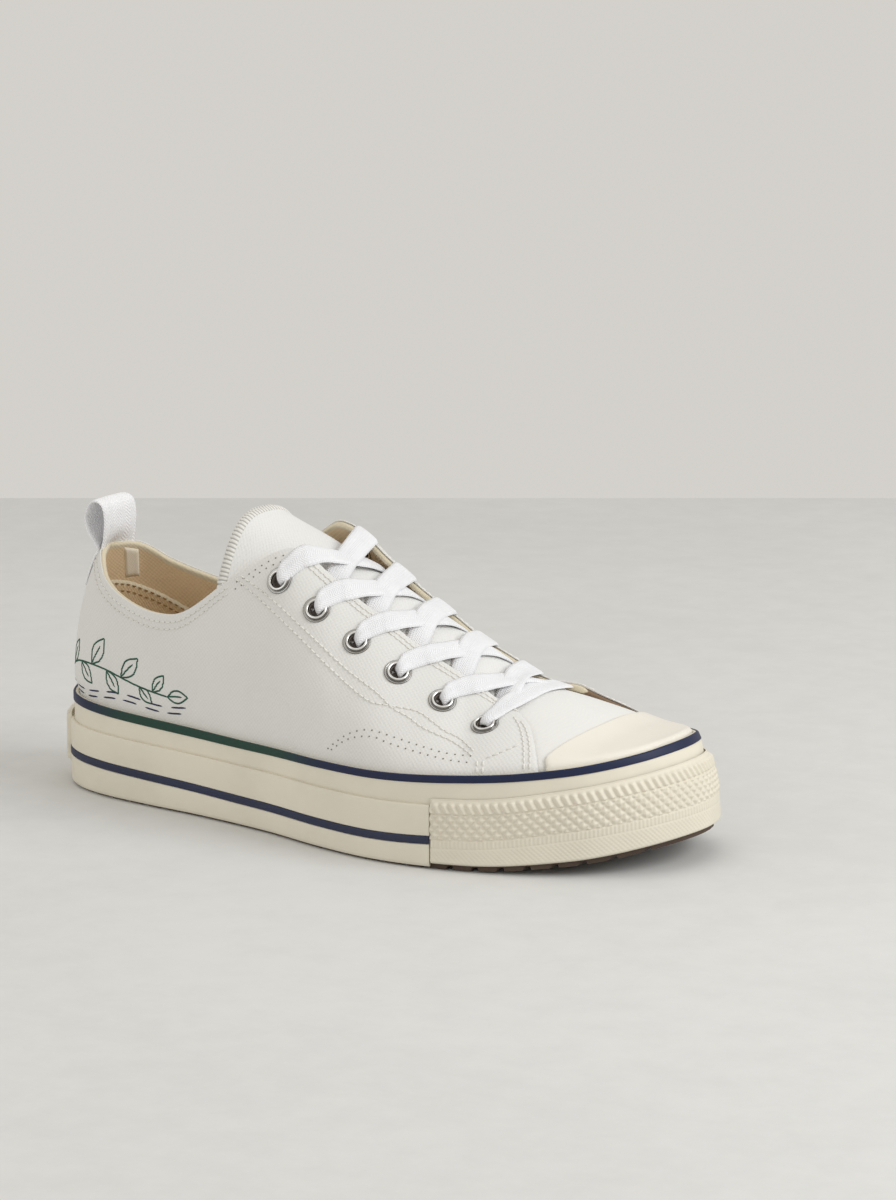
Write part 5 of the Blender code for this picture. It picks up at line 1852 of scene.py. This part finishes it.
STITCH_PITCH = 2.6
STITCH_LONG = 2.15
STITCH_WIDE = 0.72
HOLE_PITCH = 3.0
# Ways down from the free edge of the two rows: behind THREAD_END, and forward of HOLES_END
COLLAR_ROWS = (3.0, 5.6)
STAY_ROWS = (2.3, 4.3)
THREAD_END = -44.0
HOLES_END = -20.0


def make_stitches(quarter):
    """Two rows along the collar, bare holes where its thread has sunk in, and the rows of the eyestay; the
    holes and the dips between stitches carry painted shade.
    """
    grid, _, _, columns, _ = quarter
    tree = bvh_of("quarters")
    tops = {(round(row[0], 6), side): grid[i, 0, 0] for i, (row, side) in enumerate(columns)}
    threads = []
    holes = []

    def rows_of(way, low, high, pitch):
        runs = edge_row(quarter, way, lambda x, side: low <= tops[(round(x, 6), side)] < high)
        return [respace(run, pitch) for run in runs]

    for way in COLLAR_ROWS:
        threads += rows_of(way, -LENGTH, THREAD_END, STITCH_PITCH)
        holes += rows_of(way, THREAD_END, HOLES_END, HOLE_PITCH)
    for way in STAY_ROWS:
        threads += rows_of(way, HOLES_END, LENGTH, STITCH_PITCH)
    for pixels in (EYESTAY_LOW, EYESTAY_HIGH, *FRONT_ROWS):
        path = photo_path(tree, pixels, STITCH_PITCH)
        threads += [path, mirrored(tree, path)]
    for pixels in (STAY_OUTER, STAY_INNER):
        path = photo_path(tree, pixels, HOLE_PITCH)
        holes += [path, mirrored(tree, path)]
    sew("quarter_stitches", threads, STITCH_LONG, STITCH_WIDE, MATS["thread"])
    # painted shade: the dips between stitches and the bare needle holes are coloured as their shade
    sew("stitch_pits", [between(path) for path in threads], 0.5, 0.55, MATS["pit"], sink=0.62)
    sew("needle_holes", holes, 0.62, 0.58, MATS["hole"], sink=0.42)


# Inside of the heel: a counter sewn over the lining, and a tape beside the seam. The counter is given by
# its reach from the heel's middle, its height there, its fall by the square of the way round, and its foot

COUNTER_REACH = 56.0
COUNTER_HIGH = 75.0
COUNTER_FALL = 0.0058
COUNTER_FOOT = 36.0
COUNTER_ROWS = (1.4, 4.2)
# Both edges of the tape, in pixels of the photograph
TAPE_NEAR = ((124, 546), (125, 562), (125.5, 578))
TAPE_FAR = ((138.5, 548), (139, 562), (139.5, 577))
RIBBON_STEP = 1.2


def wall_at(tree, arc, z, stand):
    """Place and normal on a mesh at an arc from the heel's middle along the outline and a height, met
    from a stand outside the outline or, below 0, inside it."""
    i = int(round(arc / (OUTLINE_LENGTH / len(OUTLINE)))) % len(OUTLINE)
    out = np.array([NORMALS[i][0], NORMALS[i][1], 0.0])
    start = np.array([OUTLINE[i][0], OUTLINE[i][1], z]) + out * stand
    return cast_normal(tree, start, -out if stand > 0 else out)


def counter_edge(tree, arcs, down=0.0):
    """Line along the counter's top edge, or some way below it."""
    return [wall_at(tree, arc, COUNTER_HIGH - COUNTER_FALL * arc * arc - down, -26.0) for arc in arcs]


def ribbon(name, tree, one, other, thick, mat, slot):
    """Thin strip laid on a surface between two paths on it, from the first path's edge."""
    count = min(len(one), len(other))
    across = 15
    front = []
    back = []
    cloth = []
    for i in range(count):
        p, n = one[i * (len(one) - 1) // (count - 1)]
        q, m = other[i * (len(other) - 1) // (count - 1)]
        wide = np.linalg.norm(q - p)
        for k in range(across):
            t = k / (across - 1)
            t = t * t * 0.6 + t * 0.4
            up = unit(n * (1 - t) + m * t)
            spot = p * (1 - t) + q * t
            hit = cast(tree, spot + up * 6, -up, 14.0)
            spot = spot if hit is None else hit
            ends = min(i, count - 1 - i) * RIBBON_STEP + 0.05
            way = min(t * wide, (1 - t) * wide, ends)
            front.append(spot + up * thick * (0.1 + 0.9 * smooth(way / 0.8)))
            back.append(spot - up * 0.5)
            cloth.append((i * RIBBON_STEP, t * wide, t * wide + 0.5))
    close_sheet(name, front, back, count, across, mat, slot, (), cloth * 2)


def make_inside():
    tree = bvh_of("lining")
    arcs = np.arange(-COUNTER_REACH, COUNTER_REACH + 0.1, RIBBON_STEP)
    low = [wall_at(tree, arc, COUNTER_FOOT, -26.0) for arc in arcs]
    pairs = [(a, b) for a, b in zip(counter_edge(tree, arcs), low) if a[0] is not None and b[0] is not None]
    top, low = zip(*pairs)
    ribbon("heel_counter", tree, top, low, 0.9, MATS["lining"], "cotton")
    near, far = (photo_path(tree, pixels, RIBBON_STEP) for pixels in (TAPE_NEAR, TAPE_FAR))
    ribbon("heel_seam_tape", tree, near, far, 0.5, MATS["facing"], "cotton")
    counter = bvh_of("heel_counter")
    rows = [[spot for spot in counter_edge(counter, arcs[2:-2], down) if spot[0] is not None]
            for down in COUNTER_ROWS]
    sew("counter_stitches", [respace(row, 2.6) for row in rows], 1.7, 0.6, MATS["tan_thread"])


# Drawing on the heel: a plain leaf sprig over a dashed line, by arc round the heel and height

def leaf(cx, cz, size, turn, bend=0.25):
    """Outline of one leaf with a middle vein."""
    c = math.cos(math.radians(turn))
    s = math.sin(math.radians(turn))
    top = [(t, bend * math.sin(math.pi * t)) for t in np.linspace(0, 1, 12)]
    low = [(t, -bend * math.sin(math.pi * t)) for t in np.linspace(1, 0, 12)]
    shape = top + low[1:]
    vein = [(0.0, 0.0), (0.35, 0.02), (0.72, 0.0)]
    return [[(cx + (u * c - v * s) * size, cz + (u * s + v * c) * size) for u, v in line]
            for line in (shape, vein)]


def sprig_lines():
    green = [[(17.0, 45.0), (30.0, 49.0), (47.0, 48.6), (64.0, 44.6), (80.0, 42.6)]]
    for u, v, size, turn in ((22.0, 46.8, 11.0, 62.0), (31.0, 49.1, 11.0, -40.0), (39.0, 49.2, 13.0, 55.0),
                             (48.0, 48.3, 10.5, -50.0), (56.0, 46.6, 11.5, 45.0), (65.0, 44.2, 8.5, -38.0),
                             (72.0, 43.4, 9.0, 50.0), (79.5, 42.7, 9.5, 6.0)):
        green += leaf(u, v, size, turn)
    navy = []
    for low, first in ((39.6, 15.0), (37.3, 24.0)):
        for a in np.arange(first, 86.0, 11.0):
            navy.append([(a + b, low + 0.9 * math.sin((a + b) / 7.0)) for b in (0.0, 3.5, 7.0)])
    return green, navy


SPRIG_WIDE = 0.42
# Section of a drawn line: share of its half width, height over the cloth
SPRIG_SECTION = ((-1, -0.1), (-0.6, 0.12), (0.6, 0.12), (1, -0.1))


def make_drawing():
    tree = bvh_of("quarters")
    green, navy = sprig_lines()
    size = len(SPRIG_SECTION)
    for name, lines, ink in (("sprig_green", green, "ink_green"), ("sprig_navy", navy, "ink_navy")):
        verts = []
        faces = []
        for line in lines:
            path = [wall_at(tree, arc, z, 30.0) for arc, z in spline(line, 0.5)]
            path = [spot for spot in path if spot[0] is not None]
            if len(path) < 3:
                continue
            faces += grid_faces(len(path), size, wrap_columns=True, base=len(verts))
            faces += end_caps(len(path), size, base=len(verts))
            for i, (p, n) in enumerate(path):
                ahead = unit(path[min(i + 1, len(path) - 1)][0] - path[max(i - 1, 0)][0])
                across = np.cross(n, ahead)
                ends = smooth(min(i, len(path) - 1 - i) / 4.0 + 0.3)
                verts += [p + across * SPRIG_WIDE * part * ends + n * lift for part, lift in SPRIG_SECTION]
        add_piece(name, verts, faces, MATS[ink])


# Stage: floor with a far edge, even light from all round, three lamps and the camera

FLOOR_BACK = 649.0
FLOOR_HALF = 3000.0
FLOOR_DEEP = 3600.0
AIR = (0.655, 0.635, 0.60, 1.0)
LAMP_COLOUR = (0.95, 0.98, 1.0)
LAMP_AIM = Vector((0.0, 0.0, 0.05))
LAMPS = (
    # name, place and size in metres, power
    ("key", (1.20, 0.12, 0.80), 0.8, 9.9),
    ("top", (0.00, 0.15, 1.25), 0.9, 1.0),
    ("fill", (-0.60, -1.30, 0.50), 1.0, 2.3),
)


def add_to_scene(name, data, spot=(0.0, 0.0, 0.0), facing=None):
    """Object at a place in metres; a lamp or camera looks along facing."""
    made = bpy.data.objects.new(name, data)
    made.location = Vector(spot)
    if facing is not None:
        made.rotation_euler = Vector(facing).to_track_quat("-Z", "Y").to_euler()
    bpy.context.scene.collection.objects.link(made)
    return made


def make_stage():
    away, right, _ = view_axes()
    look = VIEW_LOOK + SHIFT
    level = np.array([-away[0], -away[1], 0.0])
    level /= np.linalg.norm(level)
    far = look + level * FLOOR_BACK
    near = far - level * FLOOR_DEEP
    sides = ((far, -1), (far, 1), (near, 1), (near, -1))
    corners = [edge + right * FLOOR_HALF * side for edge, side in sides]
    mesh = bpy.data.meshes.new("floor")
    mesh.from_pydata([(c[0] * MILLI, c[1] * MILLI, 0.0) for c in corners], [], [(0, 1, 2, 3)])
    mesh.materials.append(floor_material())
    floor = add_to_scene("floor", mesh)
    world = bpy.data.worlds.new("studio")
    world.use_nodes = True
    world.node_tree.nodes["Background"].inputs["Color"].default_value = AIR
    world.node_tree.nodes["Background"].inputs["Strength"].default_value = 1.0
    bpy.context.scene.world = world
    for name, spot, size, power in LAMPS:
        light = bpy.data.lights.new(name, "AREA")
        light.color = LAMP_COLOUR
        light.size = size
        light.energy = power
        add_to_scene(name, light, spot, LAMP_AIM - Vector(spot))
    camera = bpy.data.cameras.new("camera")
    camera.lens = VIEW_LENS
    camera.sensor_width = FILM
    camera.sensor_fit = "AUTO"
    camera.clip_end = 20.0
    bpy.context.scene.camera = add_to_scene("camera", camera, (look + away * VIEW_AWAY) * MILLI, -away)
    bpy.context.scene.view_settings.view_transform = "Standard"


# Build

VAMP_UNDER = 14.0


def dress_cad():
    """Outsole and insole keep the solids' own shapes."""
    for node in ("outsole", "insole"):
        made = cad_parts[node]
        made.data.materials.clear()
        made.data.materials.append(MATS[node])


make_stage()
make_rubber()
make_bumper()
make_patch()
quarter = make_quarters()
make_tongue()
toe_sheet("vamp_cloth", QUARTER_FRONT - VAMP_UNDER, vamp_cut, -1.1, 0.05, MATS["vamp"])
toe_sheet("cap_rubber", CAP_LEVEL, cap_cut, 0.15, CAP_LIFT + CAP_T, MATS["cap"],
          ("toe_cap",), edge=0.9)
make_pull_loop(bvh_of("quarters"))
make_eyelets()
make_laces()
make_stitches(quarter)
make_drawing()
make_inside()
dress_cad()
